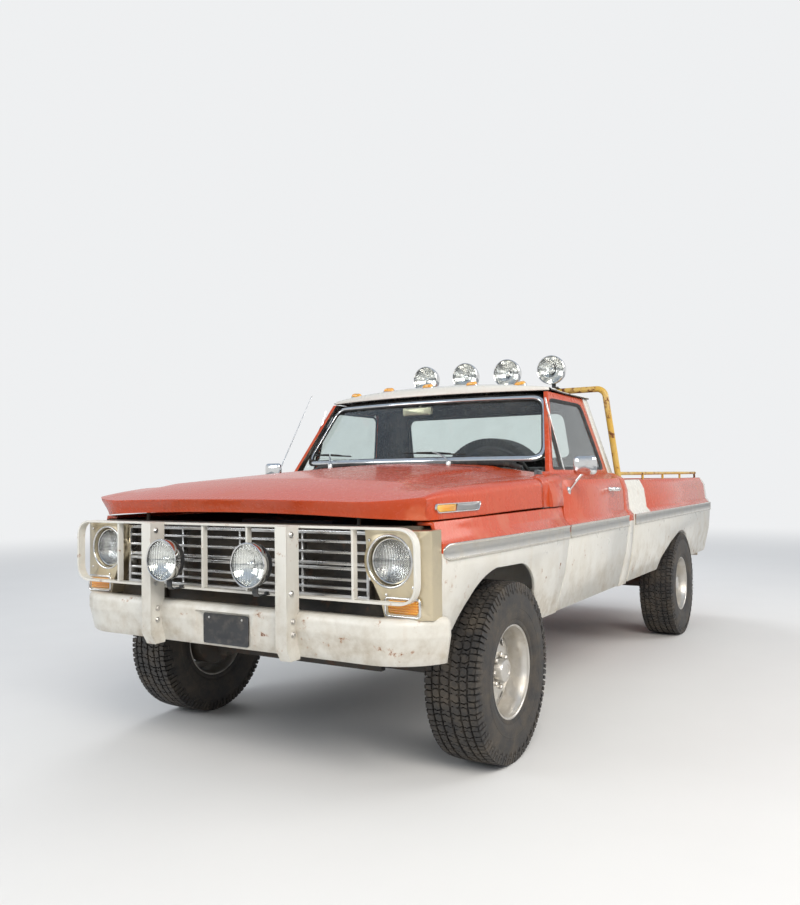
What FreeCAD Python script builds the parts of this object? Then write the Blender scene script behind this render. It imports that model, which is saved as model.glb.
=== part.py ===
import FreeCAD, Part
import os
import re
from math import sin, tan

import Sketcher

# Full-size pickup truck of the late 1960s, in millimetres.
# +Z is up, the truck faces -Y and +X is its left side. The origin lies on the ground
# under the middle of the whole length. Stations are distances back from the face of
# the front bumper.

V = FreeCAD.Vector
document = FreeCAD.newDocument("pickup_truck")
sheet = document.addObject("Spreadsheet::Sheet", "dims")

# Driving dimensions: alias, value, meaning
SIZES = (
    ("lamp_reach", 108, "driving lamps ahead of the bumper face"),
    ("tail_end", 5345, "station of the rear bumper's rear face"),
    ("wheelbase", 3327, "front axle to rear axle"),
    ("front_axle", 785, "station of the front axle"),
    ("wheel_plane", 870, "half track, to the middle of a tyre"),
    ("tyre_radius", 393, "outer radius of a tyre"),
    ("tyre_width", 250, "width over the sidewalls"),
    ("rim_radius", 203, "outer radius of a rim flange"),
    ("rim_width", 216, "width over the rim flanges"),
    ("rim_wall", 12, "thickness of the rim barrel and disc"),
    ("hub_radius", 62, "radius of the hub cover"),
    ("spindle_radius", 18, "radius of a wheel spindle"),
    ("spindle_fit", 0.3, "running clearance of a hub on its spindle"),
    ("kingpin", 720, "half distance between the kingpins"),
    ("drum_radius", 142, "radius of a brake drum"),
    ("frame_half", 430, "half width over the frame rails"),
    ("rail_width", 70, "width of a frame rail"),
    ("rail_depth", 130, "height of a frame rail"),
    ("rail_wall", 8, "wall of a frame rail"),
    ("rail_front", 60, "station of the frame horns"),
    ("rail_end", 5200, "station of the rail ends"),
    ("rail_low", 430, "underside of the rails below the cab"),
    ("rail_horn", 560, "underside of the rails at the bumper"),
    ("rail_arch", 560, "underside of the rails over the rear axle"),
    ("boss_half", 70, "half height of the kingpin boss"),
    ("hinge_fit", 0.3, "running clearance at hinges and seats"),
    ("beam_top", 383, "top of the front beams at their pivots"),
    ("tower", 587, "seat of the front coil springs"),
    ("arm_end", 1690, "station of the radius arms' rear ends"),
    ("block_low", 560, "underside of the engine block"),
    ("block_rear", 1150, "station of the engine block's rear face"),
    ("exhaust_height", 370, "height of the exhaust pipe"),
    ("half_width", 1000, "half width of the body at the moulding line"),
    ("sill_low", 552, "underside of the body side"),
    ("sill_tuck", 60, "how far the body side tucks in at the sill"),
    ("swell_low", 760, "height where the side starts to tuck in"),
    ("swell_tuck", 15, "tuck of the side at that height"),
    ("moulding_low", 925, "underside of the side moulding"),
    ("moulding_high", 995, "top of the side moulding"),
    ("moulding_depth", 8, "how far the moulding stands out"),
    ("recess", 28, "depth of the step above the moulding"),
    ("recess_high", 1030, "top of the step above the moulding"),
    ("shoulder", 1150, "height where the side turns to the belt"),
    ("shoulder_tuck", 35, "tuck of the side at the shoulder"),
    ("belt_tuck", 58, "tuck at the outer edge of the belt"),
    ("roof_wall", 30, "thickness of the roof and pillars"),
    ("door_wall", 60, "thickness of a door below the window line"),
    ("frame_wall", 26, "thickness of a door's window frame"),
    ("door_gap", 5, "gap round a door"),
    ("door_rear_gap", 8, "gap behind a door"),
    ("door_foot", 1440, "station of the door's front edge at the sill"),
    ("door_front", 1503, "station of the door's front edge at the moulding"),
    ("door_rear", 2592, "station of the door's rear edge at the moulding"),
    ("hinge_station", 1514, "station of the door hinges"),
    ("firewall", 1345, "station of the firewall"),
    ("firewall_wall", 24, "thickness of the firewall"),
    ("cab_rear", 2700, "station of the cab's rear wall"),
    ("cab_wall", 26, "thickness of the cab's rear wall"),
    ("floor", 632, "top of the cab floor"),
    ("floor_wall", 24, "thickness of the cab floor"),
    ("glass", 6, "thickness of the window glass"),
    ("screen_foot", 1420, "station of the windscreen's foot at the centre"),
    ("screen_bow", 165, "how far the windscreen's corners lie behind its centre"),
    ("screen_lean", 300, "how far the windscreen's head lies behind its foot"),
    ("hood_front", 22, "station of the hood's nose"),
    ("hood_rear", 1262, "station of the hood's rear edge"),
    ("hood_wall", 22, "thickness of the hood"),
    ("hood_gap", 6, "gap between the hood and the fenders"),
    ("fender_top", 1077, "top edge of the fender at the front"),
    ("fender_rise", 9, "rise of the fender's top edge to the rear"),
    ("fender_wall", 14, "thickness of a fender"),
    ("fender_front", 186, "station of the fender's front edge"),
    ("fender_rear", 1494, "station of the fender's rear edge"),
    ("fender_taper", 38, "how much narrower each fender is at the front"),
    ("apron_half", 530, "half distance between the inner aprons"),
    ("arch_front", 313, "front edge of the front wheel arch"),
    ("arch_top", 862, "top of the front wheel arch"),
    ("rear_arch_top", 800, "top of the rear wheel arch"),
    ("bumper_low", 545, "underside of the front bumper"),
    ("bumper_high", 728, "top of the front bumper"),
    ("bumper_wall", 10, "wall of the front bumper"),
    ("bumper_wrap", 190, "station where the bumper's ends stop"),
    ("grille_low", 773, "underside of the grille frame"),
    ("grille_high", 1040, "top of the grille frame"),
    ("grille_face", 108, "station of the grille's face"),
    ("lamp_height", 932, "height of the headlamps"),
    ("lamp_radius", 89, "radius of a headlamp lens"),
    ("bezel_face", 78, "station of the lamp surrounds' face"),
    ("support", 150, "station of the radiator support's front face"),
    ("bezel_wall", 12, "wall of a lamp surround"),
    ("guard_low", 795, "height of the hoop's lower run"),
    ("guard_high", 1044, "height of the hoop's upper run"),
    ("guard_station", 40, "station of the hoop's centre line"),
    ("guard_tube", 19, "radius of the hoop's tube"),
    ("guard_bend", 70, "radius of the hoop's corners"),
    ("post_half", 375, "half distance between the guard posts"),
    ("post_width", 56, "width of a guard post"),
    ("post_depth", 60, "how far a post stands ahead of the bumper"),
    ("post_wall", 7, "wall of a guard post"),
    ("bed_front", 2735, "station of the bed's front wall"),
    ("bed_end", 5233, "station of the bed's rear end"),
    ("bed_floor", 735, "top of the bed floor"),
    ("bed_wall", 30, "thickness of the bed floor and front wall"),
    ("tailgate_wall", 38, "thickness of the tailgate"),
    ("tailgate_gap", 6, "gap round the tailgate"),
    ("tailgate_hinge", 760, "height of the tailgate's pins"),
    ("well_radius", 440, "outer radius of a wheel house"),
    ("seat_top", 1005, "top of the seat cushion"),
    ("seat_front", 1960, "station of the seat's front edge"),
    ("wheel_x", 400, "offset of the steering wheel"),
    ("wheel_station", 1950, "station of the steering wheel's centre"),
    ("wheel_height", 1238, "height of the steering wheel's centre"),
    ("wheel_tilt", 32, "tilt of the steering column, degrees"),
    ("steering_radius", 205, "radius of the steering wheel"),
    ("rack_station", 2790, "station of the cargo rack"),
    ("rack_tube", 20, "radius of the rack's tube"),
    ("rail_tube", 11, "radius of the side rails' tube"),
    ("spot_radius", 97, "radius of a roof driving lamp"),
    ("fog_radius", 90, "radius of a front driving lamp"),
    ("fog_height", 910, "height of the front driving lamps"),
    ("fog_half", 240, "half distance between the front driving lamps"),
    ("spare_station", 2895, "station of the spare wheel's middle"),
)
# Sizes that follow from the driving ones: name, formula
FOLLOWING = (
    ("belt_edge", "shoulder + 75"), ("belt", "shoulder + 112"), ("screen_low", "belt + 68"),
    ("drip", "belt + 473"), ("door_head", "drip - 5"), ("roof_top", "drip + 80"), ("bed_top", "shoulder + 64"),
    ("side_rail", "bed_top + 42"), ("rack_top", "roof_top + 5"),
    ("glass_half", "half_width - 132"), ("drip_half", "glass_half - 120"),
    ("bumper_half", "half_width - 3"), ("grille_half", "half_width - 322"), ("lamp_half", "half_width - 210"), ("signal_half", "lamp_half + 55"),
    ("guard_half", "half_width - 82"), ("seat_half", "half_width - 260"),
    ("bed_inner", "half_width - 155"), ("well_inner", "min(bed_inner - 145, wheel_plane - 170)"), ("rack_half", "half_width - 200"),
    ("door_rear_foot", "door_rear - 60"), ("side_limit", "half_width + 100"), ("door_inner", "half_width - 132"),
)
FORMULAS = dict(FOLLOWING)
NAMES = {row[0] for row in SIZES}
for number, (alias, amount, meaning) in enumerate(SIZES, start=1):
    sheet.set("A%d" % number, meaning)
    sheet.set("B%d" % number, str(amount))
    sheet.setAlias("B%d" % number, alias)
document.recompute()

MIDDLE = "((tail_end - lamp_reach) / 2)"
REAR_AXLE = "(front_axle + wheelbase)"
SIDE_VIEW = FreeCAD.Rotation(V(0, 1, 0), V(0, 0, 1), V(1, 0, 0))
FRONT_VIEW = FreeCAD.Rotation(V(1, 0, 0), V(0, 0, 1), V(0, -1, 0))
TOP_VIEW = FreeCAD.Rotation()


# Helpers that bind shapes to the sheet

def linked(text):
    """The text of a formula with each dimension traced back to the sheet."""
    def traced(word):
        if word[0] in FORMULAS:
            return "(" + linked(FORMULAS[word[0]]) + ")"
        return "dims." + word[0] if word[0] in NAMES else word[0]
    return re.sub(r"[a-z][a-z_]*", traced, str(text))


def amount_of(text):
    """The present value of a formula."""
    return float(sheet.evalExpression(linked(text)))


def back(station):
    """A station as a Y coordinate."""
    return "(%s) - %s" % (station, MIDDLE)


def bind(thing, **formulas):
    """Sets an object's properties from formulas; two underscores stand for a dot."""
    for name, formula in formulas.items():
        thing.setExpression(name.replace("__", "."), linked(formula))
    return thing


def box(name, x, y, z):
    """A block between two widths, two stations and two heights."""
    block = document.addObject("Part::Box", name)
    bind(block, Length="(%s) - (%s)" % (x[1], x[0]), Width="(%s) - (%s)" % (y[1], y[0]))
    bind(block, Height="(%s) - (%s)" % (z[1], z[0]), Placement__Base__x=x[0])
    return bind(block, Placement__Base__y=back(y[0]), Placement__Base__z=z[0])


def rod(name, axis, start, radius, length):
    """A cylinder from a start point along the x, y or z axis."""
    cylinder = document.addObject("Part::Cylinder", name)
    turn = {"x": FreeCAD.Rotation(V(0, 1, 0), 90), "y": FreeCAD.Rotation(V(1, 0, 0), -90), "z": TOP_VIEW}
    cylinder.Placement.Rotation = turn[axis]
    bind(cylinder, Radius=radius, Height=length, Placement__Base__x=start[0])
    return bind(cylinder, Placement__Base__y=back(start[1]), Placement__Base__z=start[2])


def arc_through(start, middle, end):
    """An arc through three points, turned anticlockwise as a sketch needs."""
    if (middle - start).cross(end - middle).z > 0:
        return Part.Arc(start, middle, end)
    return Part.Arc(end, middle, start)


def slanted_rod(name, radius, start, end):
    """A cylinder between two points (x, station, height) with the same x."""
    run = "((%s) - (%s))" % (end[1], start[1])
    climb = "((%s) - (%s))" % (end[2], start[2])
    length = "sqrt(%s * %s + %s * %s)" % (run, run, climb, climb)
    cylinder = document.addObject("Part::Cylinder", name)
    forward = -1 if amount_of(run) > 0 else 1
    cylinder.Placement.Rotation = FreeCAD.Rotation(V(forward, 0, 0), 90)
    bind(cylinder, Radius=radius, Height=length, Placement__Rotation__Angle="acos(%s / %s)" % (climb, length))
    bind(cylinder, Placement__Base__x=start[0], Placement__Base__y=back(start[1]))
    return bind(cylinder, Placement__Base__z=start[2])


def outline(name, view, place, corners):
    """A closed sketch at one place across a view.

    Each corner has two coordinates; two more are a point that an arc to the next
    corner passes through. Side view: station, height. Front view: width, height.
    Top view: width, station.
    """
    sketch = document.addObject("Sketcher::SketchObject", name)
    shift = {"side": (back, str), "front": (str, str), "top": (str, back)}[view]
    corners = [[shift[index % 2](text) for index, text in enumerate(corner)] for corner in corners]
    points = [[V(amount_of(c[i]), amount_of(c[i + 1]), 0) for i in range(0, len(c), 2)] for c in corners]
    count = len(corners)
    for index, spots in enumerate(points):
        after = points[(index + 1) % count][0]
        sketch.addGeometry(arc_through(spots[0], spots[1], after) if len(spots) == 2
                           else Part.LineSegment(spots[0], after))

    def end_at(index, point):
        return 1 if sketch.Geometry[index].StartPoint.distanceToPoint(point) < 0.001 else 2

    def hold(index, end, point, texts):
        for axis, value, text in (("DistanceX", point.x, texts[0]), ("DistanceY", point.y, texts[1])):
            held = sketch.addConstraint(Sketcher.Constraint(axis, -1, 1, index, end, value))
            sketch.setExpression("Constraints[%d]" % held, linked(text))

    for index, spots in enumerate(points):
        before = (index - 1) % count
        here = end_at(index, spots[0])
        joint = Sketcher.Constraint("Coincident", before, end_at(before, spots[0]), index, here)
        sketch.addConstraint(joint)
        hold(index, here, spots[0], corners[index])
    for index, spots in enumerate(points):
        if len(spots) == 2:
            through = sketch.addGeometry(Part.Point(spots[1]), True)
            sketch.addConstraint(Sketcher.Constraint("PointOnObject", through, 1, index))
            hold(through, 1, spots[1], corners[index][2:])
    sketch.Placement.Rotation = {"side": SIDE_VIEW, "front": FRONT_VIEW, "top": TOP_VIEW}[view]
    axis = {"side": "x", "front": "y", "top": "z"}[view]
    sketch.setExpression("Placement.Base." + axis, linked(back(place) if axis == "y" else place))
    return sketch


def slab(name, view, low, high, corners):
    """An outline drawn out between two places across its view."""
    solid = document.addObject("Part::Extrusion", name)
    solid.Base = outline(name + "_outline", view, low, corners)
    solid.DirMode = "Custom"
    solid.Dir = {"side": V(1, 0, 0), "front": V(0, 1, 0), "top": V(0, 0, 1)}[view]
    solid.Solid = True
    return bind(solid, LengthFwd="(%s) - (%s)" % (high, low))


def loft(name, sections):
    """A straight-sided loft through sketches."""
    solid = document.addObject("Part::Loft", name)
    solid.Sections = sections
    solid.Solid = True
    solid.Ruled = True
    return solid


def turned(name, view, place, centre, axis, corners):
    """An outline revolved about an axis through a centre (x, station, height)."""
    solid = document.addObject("Part::Revolution", name)
    solid.Source = outline(name + "_outline", view, place, corners)
    solid.Axis = axis
    solid.Angle = 360
    solid.Solid = True
    bind(solid, Base__x=centre[0], Base__y=back(centre[1]), Base__z=centre[2])
    return solid


def joined(name, *pieces):
    solid = document.addObject("Part::MultiFuse", name)
    solid.Shapes = list(pieces)
    solid.Refine = True
    return solid


def common(name, *pieces):
    solid = document.addObject("Part::MultiCommon", name)
    solid.Shapes = list(pieces)
    return solid


def cut(name, base, *tools):
    """A base less one or more tools."""
    solid = document.addObject("Part::Cut", name)
    solid.Base = base
    solid.Tool = tools[0] if len(tools) == 1 else together(name + "_tools", *tools)
    return solid


def together(name, *pieces):
    """Pieces kept as one compound, for solids that do not touch."""
    group = document.addObject("Part::Compound", name)
    group.Links = list(pieces)
    return group


def mirrored(name, source):
    """The same piece on the other side of the truck."""
    copy = document.addObject("Part::Mirroring", name)
    copy.Source = source
    copy.Normal = V(1, 0, 0)
    return copy


def pair(name, source):
    return together(name, source, mirrored(name + "_right", source))


def tube(name, radius, bend, points, closed=False):
    """A round tube along straight runs joined by tangent arcs; points are x, station, height."""
    spots = [V(amount_of(x), amount_of(back(y)), amount_of(z)) for x, y, z in points]
    if closed:
        spots = [(spots[0] + spots[1]) * 0.5] + spots[1:] + [spots[0], (spots[0] + spots[1]) * 0.5]
    bend = amount_of(bend)
    edges = []
    last = spots[0]
    for before, here, after in zip(spots, spots[1:], spots[2:]):
        inward = (before - here).normalize()
        outward = (after - here).normalize()
        half = inward.getAngle(outward) / 2
        reach = bend / tan(half)
        first = here + inward * reach
        second = here + outward * reach
        middle = here + (inward + outward).normalize() * (bend / sin(half) - bend)
        edges.append(Part.LineSegment(last, first).toShape())
        edges.append(Part.Arc(first, middle, second).toShape())
        last = second
    edges.append(Part.LineSegment(last, spots[-1]).toShape())
    ring = Part.Wire(Part.makeCircle(amount_of(radius), spots[0], spots[1] - spots[0]))
    pipe = document.addObject("Part::Feature", name)
    pipe.Shape = Part.Wire(edges).makePipeShell([ring], True, False)
    return pipe


PIECES = []


def piece(label, solid):
    """Marks a finished sub-part; its label names its file."""
    solid.Label = label
    PIECES.append(solid)
    return solid


# Wheels and the axles that carry them

# Profiles of a tyre and a rim: distance outwards from the wheel's middle plane, radius
TYRE = (
    ("-rim_width / 2", "rim_radius"), ("-tyre_width / 2", "tyre_radius * 0.72"),
    ("-tyre_width * 0.47", "tyre_radius * 0.93"), ("-tyre_width * 0.4", "tyre_radius"),
    ("tyre_width * 0.4", "tyre_radius"), ("tyre_width * 0.47", "tyre_radius * 0.93"),
    ("tyre_width / 2", "tyre_radius * 0.72"), ("rim_width / 2", "rim_radius"),
)
RIM = (
    ("-rim_width / 2", "rim_radius"), ("rim_width / 2", "rim_radius"),
    ("rim_width / 2", "rim_radius - rim_wall"), ("rim_width * 0.3", "rim_radius - 2 * rim_wall"),
    ("rim_width * 0.2", "rim_radius - 2 * rim_wall"), ("rim_width * 0.2", "hub_radius * 1.9"),
    ("rim_width * 0.08", "hub_radius * 1.5"), ("rim_width * 0.08", "hub_radius"),
    ("rim_width * 0.35", "hub_radius * 0.8"), ("rim_width * 0.38", "spindle_radius + spindle_fit"),
    ("0", "spindle_radius + spindle_fit"), ("0", "hub_radius * 1.5"),
    ("rim_width * 0.14", "hub_radius * 1.9"), ("rim_width * 0.14", "rim_radius - 3 * rim_wall"),
    ("-rim_width / 2", "rim_radius - rim_wall"),
)


def wheel(side, corner, plane, station):
    """A tyre and its rim; the outer face looks to the given side (+1 is left)."""
    for part_name, table in (("tyre", TYRE), ("rim", RIM)):
        corners = [("(%s) + %d * (%s)" % (plane, side, x), "tyre_radius + (%s)" % radius) for x, radius in table]
        centre = ("0", station, "tyre_radius")
        piece(part_name + "_" + corner, turned(part_name + "_" + corner, "front", station, centre,
                                               V(1, 0, 0), corners))


for end, station in (("front", "front_axle"), ("rear", REAR_AXLE)):
    for side, hand in ((1, "left"), (-1, "right")):
        wheel(side, end + "_" + hand, "%d * wheel_plane" % side, station)

SPINDLE_END = "wheel_plane + rim_width * 0.3"
DRUM_FACE = "wheel_plane - 6"
knuckle_parts = (
    rod("spindle", "x", ("kingpin", "front_axle", "tyre_radius"), "spindle_radius", SPINDLE_END + " - kingpin"),
    rod("drum", "x", ("kingpin + 40", "front_axle", "tyre_radius"), "drum_radius", DRUM_FACE + " - kingpin - 40"),
    rod("kingpin_boss", "z", ("kingpin", "front_axle", "tyre_radius - boss_half"), "24", "2 * boss_half"),
    box("steering_arm", ("kingpin + 12", "kingpin + 38"), ("front_axle", "front_axle + 155"),
        ("tyre_radius - 60", "tyre_radius - 35")),
)
knuckle = joined("knuckle_left", *knuckle_parts)
piece("knuckle_left", knuckle)
piece("knuckle_right", mirrored("knuckle_right", knuckle))


def front_beam(hand, front, rear):
    """A forged beam from the left kingpin to a pivot on the right, between two distances from the axle."""
    front = "front_axle + " + front
    rear = "front_axle + " + rear
    bar = slab("beam_bar_" + hand, "front", front, rear, (
        ("kingpin - 30", "tyre_radius + 60"), ("kingpin - 90", "tyre_radius + 10"), ("-300", "beam_top"),
        ("-335", "beam_top"), ("-335", "beam_top - 50"), ("kingpin - 110", "beam_top - 50"),
        ("kingpin - 30", "tyre_radius - 60")))
    stem = box("beam_stem_" + hand, ("kingpin - 70", "kingpin - 29"), ("front_axle - 45", "front_axle + 45"),
               ("tyre_radius - boss_half - 16", "tyre_radius + boss_half + 16"))
    parts = [bar, stem]
    for word, low in (("low", "tyre_radius - boss_half - 16"), ("high", "tyre_radius + boss_half + hinge_fit")):
        height = "16 - hinge_fit"
        parts.append(rod("beam_eye_%s_%s" % (word, hand), "z", ("kingpin", "front_axle", low), "24", height))
        parts.append(box("beam_link_%s_%s" % (word, hand), ("kingpin - 40", "kingpin"),
                         ("front_axle - 20", "front_axle + 20"), (low, "%s + %s" % (low, height))))
    parts.append(box("radius_arm_" + hand, ("490", "530"), (front, "arm_end"), ("beam_top - 50", "beam_top - 5")))
    parts.append(rod("coil_spring_" + hand, "z", ("510", "(%s + %s) / 2" % (front, rear), "beam_top"), "55",
                     "tower - beam_top"))
    return joined("front_beam_" + hand, *parts)


# Two forged beams that cross below the engine
piece("front_axle", together("front_axle", front_beam("left", "22", "58"),
                             mirrored("front_beam_right", front_beam("mirror", "-58", "-22"))))

rear_axle = joined(
    "rear_axle",
    rod("axle_tube", "x", ("-wheel_plane + 60", REAR_AXLE, "tyre_radius"), "42", "2 * wheel_plane - 120"),
    rod("differential", "y", ("0", REAR_AXLE + " - 150", "tyre_radius"), "135", "260"),
    *[rod("rear_drum_" + hand, "x", (start, REAR_AXLE, "tyre_radius"), "drum_radius", "70")
      for hand, start in (("left", "wheel_plane - 76"), ("right", "-wheel_plane + 6"))],
    *[rod("rear_spindle_" + hand, "x", (start, REAR_AXLE, "tyre_radius"), "spindle_radius", "rim_width * 0.3 + 30")
      for hand, start in (("left", "wheel_plane - 30"), ("right", "-wheel_plane - rim_width * 0.3"))],
    pair("leaf_springs", slab("leaf_spring", "side", "frame_half", "frame_half + 64", (
        (REAR_AXLE + " - 620", "rail_low + 85"), (REAR_AXLE + " - 60", "tyre_radius + 40"),
        (REAR_AXLE + " + 60", "tyre_radius + 40"), (REAR_AXLE + " + 620", "rail_low + 105"),
        (REAR_AXLE + " + 620", "rail_low + 90"), (REAR_AXLE + " + 60", "tyre_radius - 10"),
        (REAR_AXLE + " - 60", "tyre_radius - 10"), (REAR_AXLE + " - 620", "rail_low + 70")))),
)
piece("rear_axle", rear_axle)

# Ladder frame, engine, gearbox and exhaust

RAIL_LINE = (
    ("rail_front", "rail_horn"), ("1150", "rail_low"), ("3150", "rail_low"),
    ("3550", "rail_arch"), ("4650", "rail_arch"), ("rail_end", "rail_horn - 20"),
)


def rail(name, inner, outer, trim):
    """One rail of the frame as a solid bar; trim takes off its top and bottom."""
    low = [(station, "%s + %s" % (height, trim)) for station, height in RAIL_LINE]
    high = [(station, "%s + rail_depth - %s" % (height, trim)) for station, height in reversed(RAIL_LINE)]
    return slab(name, "side", inner, outer, low + high)


rails = cut("rail_left", rail("rail_bar", "frame_half - rail_width", "frame_half", "0"),
            rail("rail_hollow", "frame_half - rail_width", "frame_half - rail_wall", "rail_wall"))
# Cross members: name, station, length, underside, height
CROSS_MEMBERS = (
    ("front", "190", "60", "rail_horn", "60"), ("engine", "600", "70", "block_low - 60", "60"),
    ("axle", "front_axle - 62", "124", "rail_low + 25", "40"), ("gearbox", "1720", "70", "rail_low + 10", "60"),
    ("middle", "2900", "70", "rail_low + 105", "20"), ("rear", "3640", "70", "rail_arch + 30", "60"),
    ("tail", "5100", "70", "rail_horn", "60"),
)
members = [box("cross_member_" + word, ("-frame_half + rail_wall / 2", "frame_half - rail_wall / 2"),
               (station, "%s + %s" % (station, length)), (low, "%s + %s" % (low, height)))
           for word, station, length, low, height in CROSS_MEMBERS]
RAIL_SPAN = ("frame_half - rail_width", "frame_half")
brackets = [
    pair("spring_towers", box("spring_tower", ("frame_half", "560"), ("front_axle - 110", "front_axle + 110"),
                              ("tower", "tower + 14"))),
    pair("arm_brackets", box("arm_bracket", ("frame_half", "530"), ("arm_end - 50", "arm_end"),
                             ("beam_top - 5", "rail_low + 20"))),
    pair("front_hangers", box("front_hanger", ("frame_half", "frame_half + 64"),
                              (REAR_AXLE + " - 630", REAR_AXLE + " - 580"), ("rail_low + 85", "rail_low + 170"))),
    pair("rear_hangers", box("rear_hanger", ("frame_half", "frame_half + 64"),
                             (REAR_AXLE + " + 585", REAR_AXLE + " + 630"), ("rail_low + 105", "rail_low + 170"))),
    *[pair("cab_mounts_" + word, box("cab_mount_" + word, RAIL_SPAN, (station, station + " + 60"),
                                     ("rail_low + rail_depth", "floor - floor_wall")))
      for word, station in (("front", "1480"), ("rear", "2560"))],
    box("pivot_left", ("-335", "-300"), ("front_axle + 22", "front_axle + 58"), ("beam_top", "rail_low + 25")),
    box("pivot_right", ("300", "335"), ("front_axle - 58", "front_axle - 22"), ("beam_top", "rail_low + 25")),
]
piece("frame", joined("frame", rails, mirrored("rail_right", rails), *members, *brackets))

piece("engine_block", box("engine_block", ("-270", "270"), ("440", "block_rear"), ("block_low", "1060")))
piece("driveline", joined(
    "driveline",
    slab("gearbox", "side", "-150", "150", (
        ("block_rear", "block_low"), ("block_rear", "790"), ("1330", "590"), ("1790", "590"), ("1790", "rail_low + 70"),
        ("1700", "rail_low + 70"))),
    slanted_rod("prop_shaft", "36", ("0", "1780", "552"), ("0", REAR_AXLE + " - 165", "tyre_radius")),
    rod("prop_flange", "y", ("0", REAR_AXLE + " - 178", "tyre_radius"), "52", "28")))
piece("exhaust", joined(
    "exhaust",
    tube("exhaust_pipe", "27", "70", (
        ("-240", "1100", "block_low"), ("-240", "1100", "exhaust_height"), ("-240", "2950", "exhaust_height"),
        ("-700", "3150", "exhaust_height"), ("-700", "3400", "exhaust_height"))),
    box("muffler", ("-310", "-170"), ("2100", "2700"), ("exhaust_height - 60", "rail_low"))))

# Body side: height and tuck from the widest line, from the sill up to the belt
SIDE = (
    ("sill_low", "sill_tuck"), ("swell_low", "swell_tuck"), ("moulding_low", "0"), ("moulding_high", "0"),
    ("recess_high", "recess"), ("shoulder", "shoulder_tuck"), ("belt_edge", "belt_tuck"),
)


def side_points(rows, inset):
    """Points up the body side, moved in by an inset."""
    return [("half_width - (%s) - (%s)" % (tuck, inset), height) for height, tuck in rows]


# Cab

DOOR_EDGE = (
    ("door_foot", "sill_low + 8"), ("door_front", "moulding_low + 35"), ("door_front + 8", "shoulder"),
    ("door_front + 88", "belt + 30"), ("door_front + 374", "door_head"),
    ("door_rear - 110", "door_head"), ("door_rear + 6", "belt + 10"), ("door_rear + 8", "shoulder"),
    ("door_rear", "moulding_low + 35"), ("door_rear_foot", "sill_low + 8"),
)


def door_prism(name, low, high, front, rear, head, foot):
    """The door's side outline, grown by gaps at the front, rear, head and foot."""
    half = len(DOOR_EDGE) // 2
    corners = []
    for index, (station, height) in enumerate(DOOR_EDGE):
        station = "%s - %s" % (station, front) if index < half else "%s + %s" % (station, rear)
        if index in (half - 1, half):
            height = "%s + %s" % (height, head)
        corners.append((station, height))
    if foot != "0":
        corners.insert(0, (corners[0][0], "%s - %s" % (corners[0][1], foot)))
        corners.append((corners[-1][0], "%s - %s" % (corners[-1][1], foot)))
    return slab(name, "side", low, high, corners)


def cab_front_view(name, inset, low, front, rear):
    """The cab seen from the front, as one solid from front to rear."""
    right = side_points(SIDE, inset)
    right[0] = (right[0][0], low)
    right += [("glass_half - %s" % inset, "belt"), ("drip_half - %s" % inset, "drip")]
    roof = [("drip_half - 18 - %s" % inset, "drip + 24 - %s / 2" % inset)]
    crown = ("0", "roof_top - %s" % inset)
    left = [("-(%s)" % x, z) for x, z in reversed(right + roof)]
    arc_start = ("(%s)" % roof[0][0], roof[0][1]) + crown
    return slab(name, "front", front, rear, right + [arc_start] + left)


def cab_side_view(name, inset, low):
    """The cab seen from the side, as one solid across."""
    lean = "(screen_lean / (drip - screen_low))"
    return slab(name, "side", "-half_width", "half_width", (
        ("firewall + %s" % inset, low),
        ("firewall + %s" % inset, "belt - %s" % inset),
        ("screen_foot - 30 + %s" % inset, "screen_low - %s" % inset),
        ("screen_foot + screen_lean - 10 + %s" % inset, "drip + 6 - %s" % inset),
        ("screen_foot + screen_lean + 90 + %s" % inset, "roof_top - 18 - %s" % inset,
         "(screen_foot + cab_rear) / 2 + 90", "roof_top - %s" % inset),
        ("cab_rear - 210 - %s" % inset, "roof_top - 26 - %s" % inset),
        ("cab_rear - 120 - %s" % inset, "drip - %s" % inset),
        ("cab_rear - %s" % inset, "belt"),
        ("cab_rear - %s" % inset, low),
    ))


def screen_band(name, front, rear):
    """A bowed upright band between two depths behind the windscreen's outer face."""
    wide = "1050"
    sag = "screen_bow * 1.6"
    band = document.addObject("Part::Extrusion", name)
    band.Base = outline(name + "_outline", "top", "screen_low - 120", (
        ("-%s" % wide, "screen_foot + %s + %s" % (sag, front), "0", "screen_foot + %s" % front),
        (wide, "screen_foot + %s + %s" % (sag, front)), (wide, "screen_foot + %s + %s" % (sag, rear),
                                                         "0", "screen_foot + %s" % rear),
        ("-%s" % wide, "screen_foot + %s + %s" % (sag, rear)),
    ))
    band.DirMode = "Custom"
    band.Dir = V(0, amount_of("screen_lean"), amount_of("drip - screen_low"))
    band.Solid = True
    return bind(band, LengthFwd="700")


HOOD_TABLE = (
    # station, half width, edge, shoulder, crown
    ("hood_front", "half_width - 85", "fender_top + hood_gap", "shoulder", "shoulder + 16"),
    ("370", "half_width - 70", "fender_top + hood_gap", "shoulder + 57", "shoulder + 102"),
    ("hood_rear", "half_width - 48", "fender_top + fender_rise + hood_gap", "shoulder + 90", "shoulder + 165"),
)
COWL_TABLE = (
    ("hood_rear + hood_gap", "half_width - 48", "fender_top + fender_rise + hood_gap", "shoulder + 90", "shoulder + 165"),
    ("hood_rear + 400", "half_width - 48", "fender_top + fender_rise + hood_gap", "belt", "belt + 84"),
)


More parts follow.
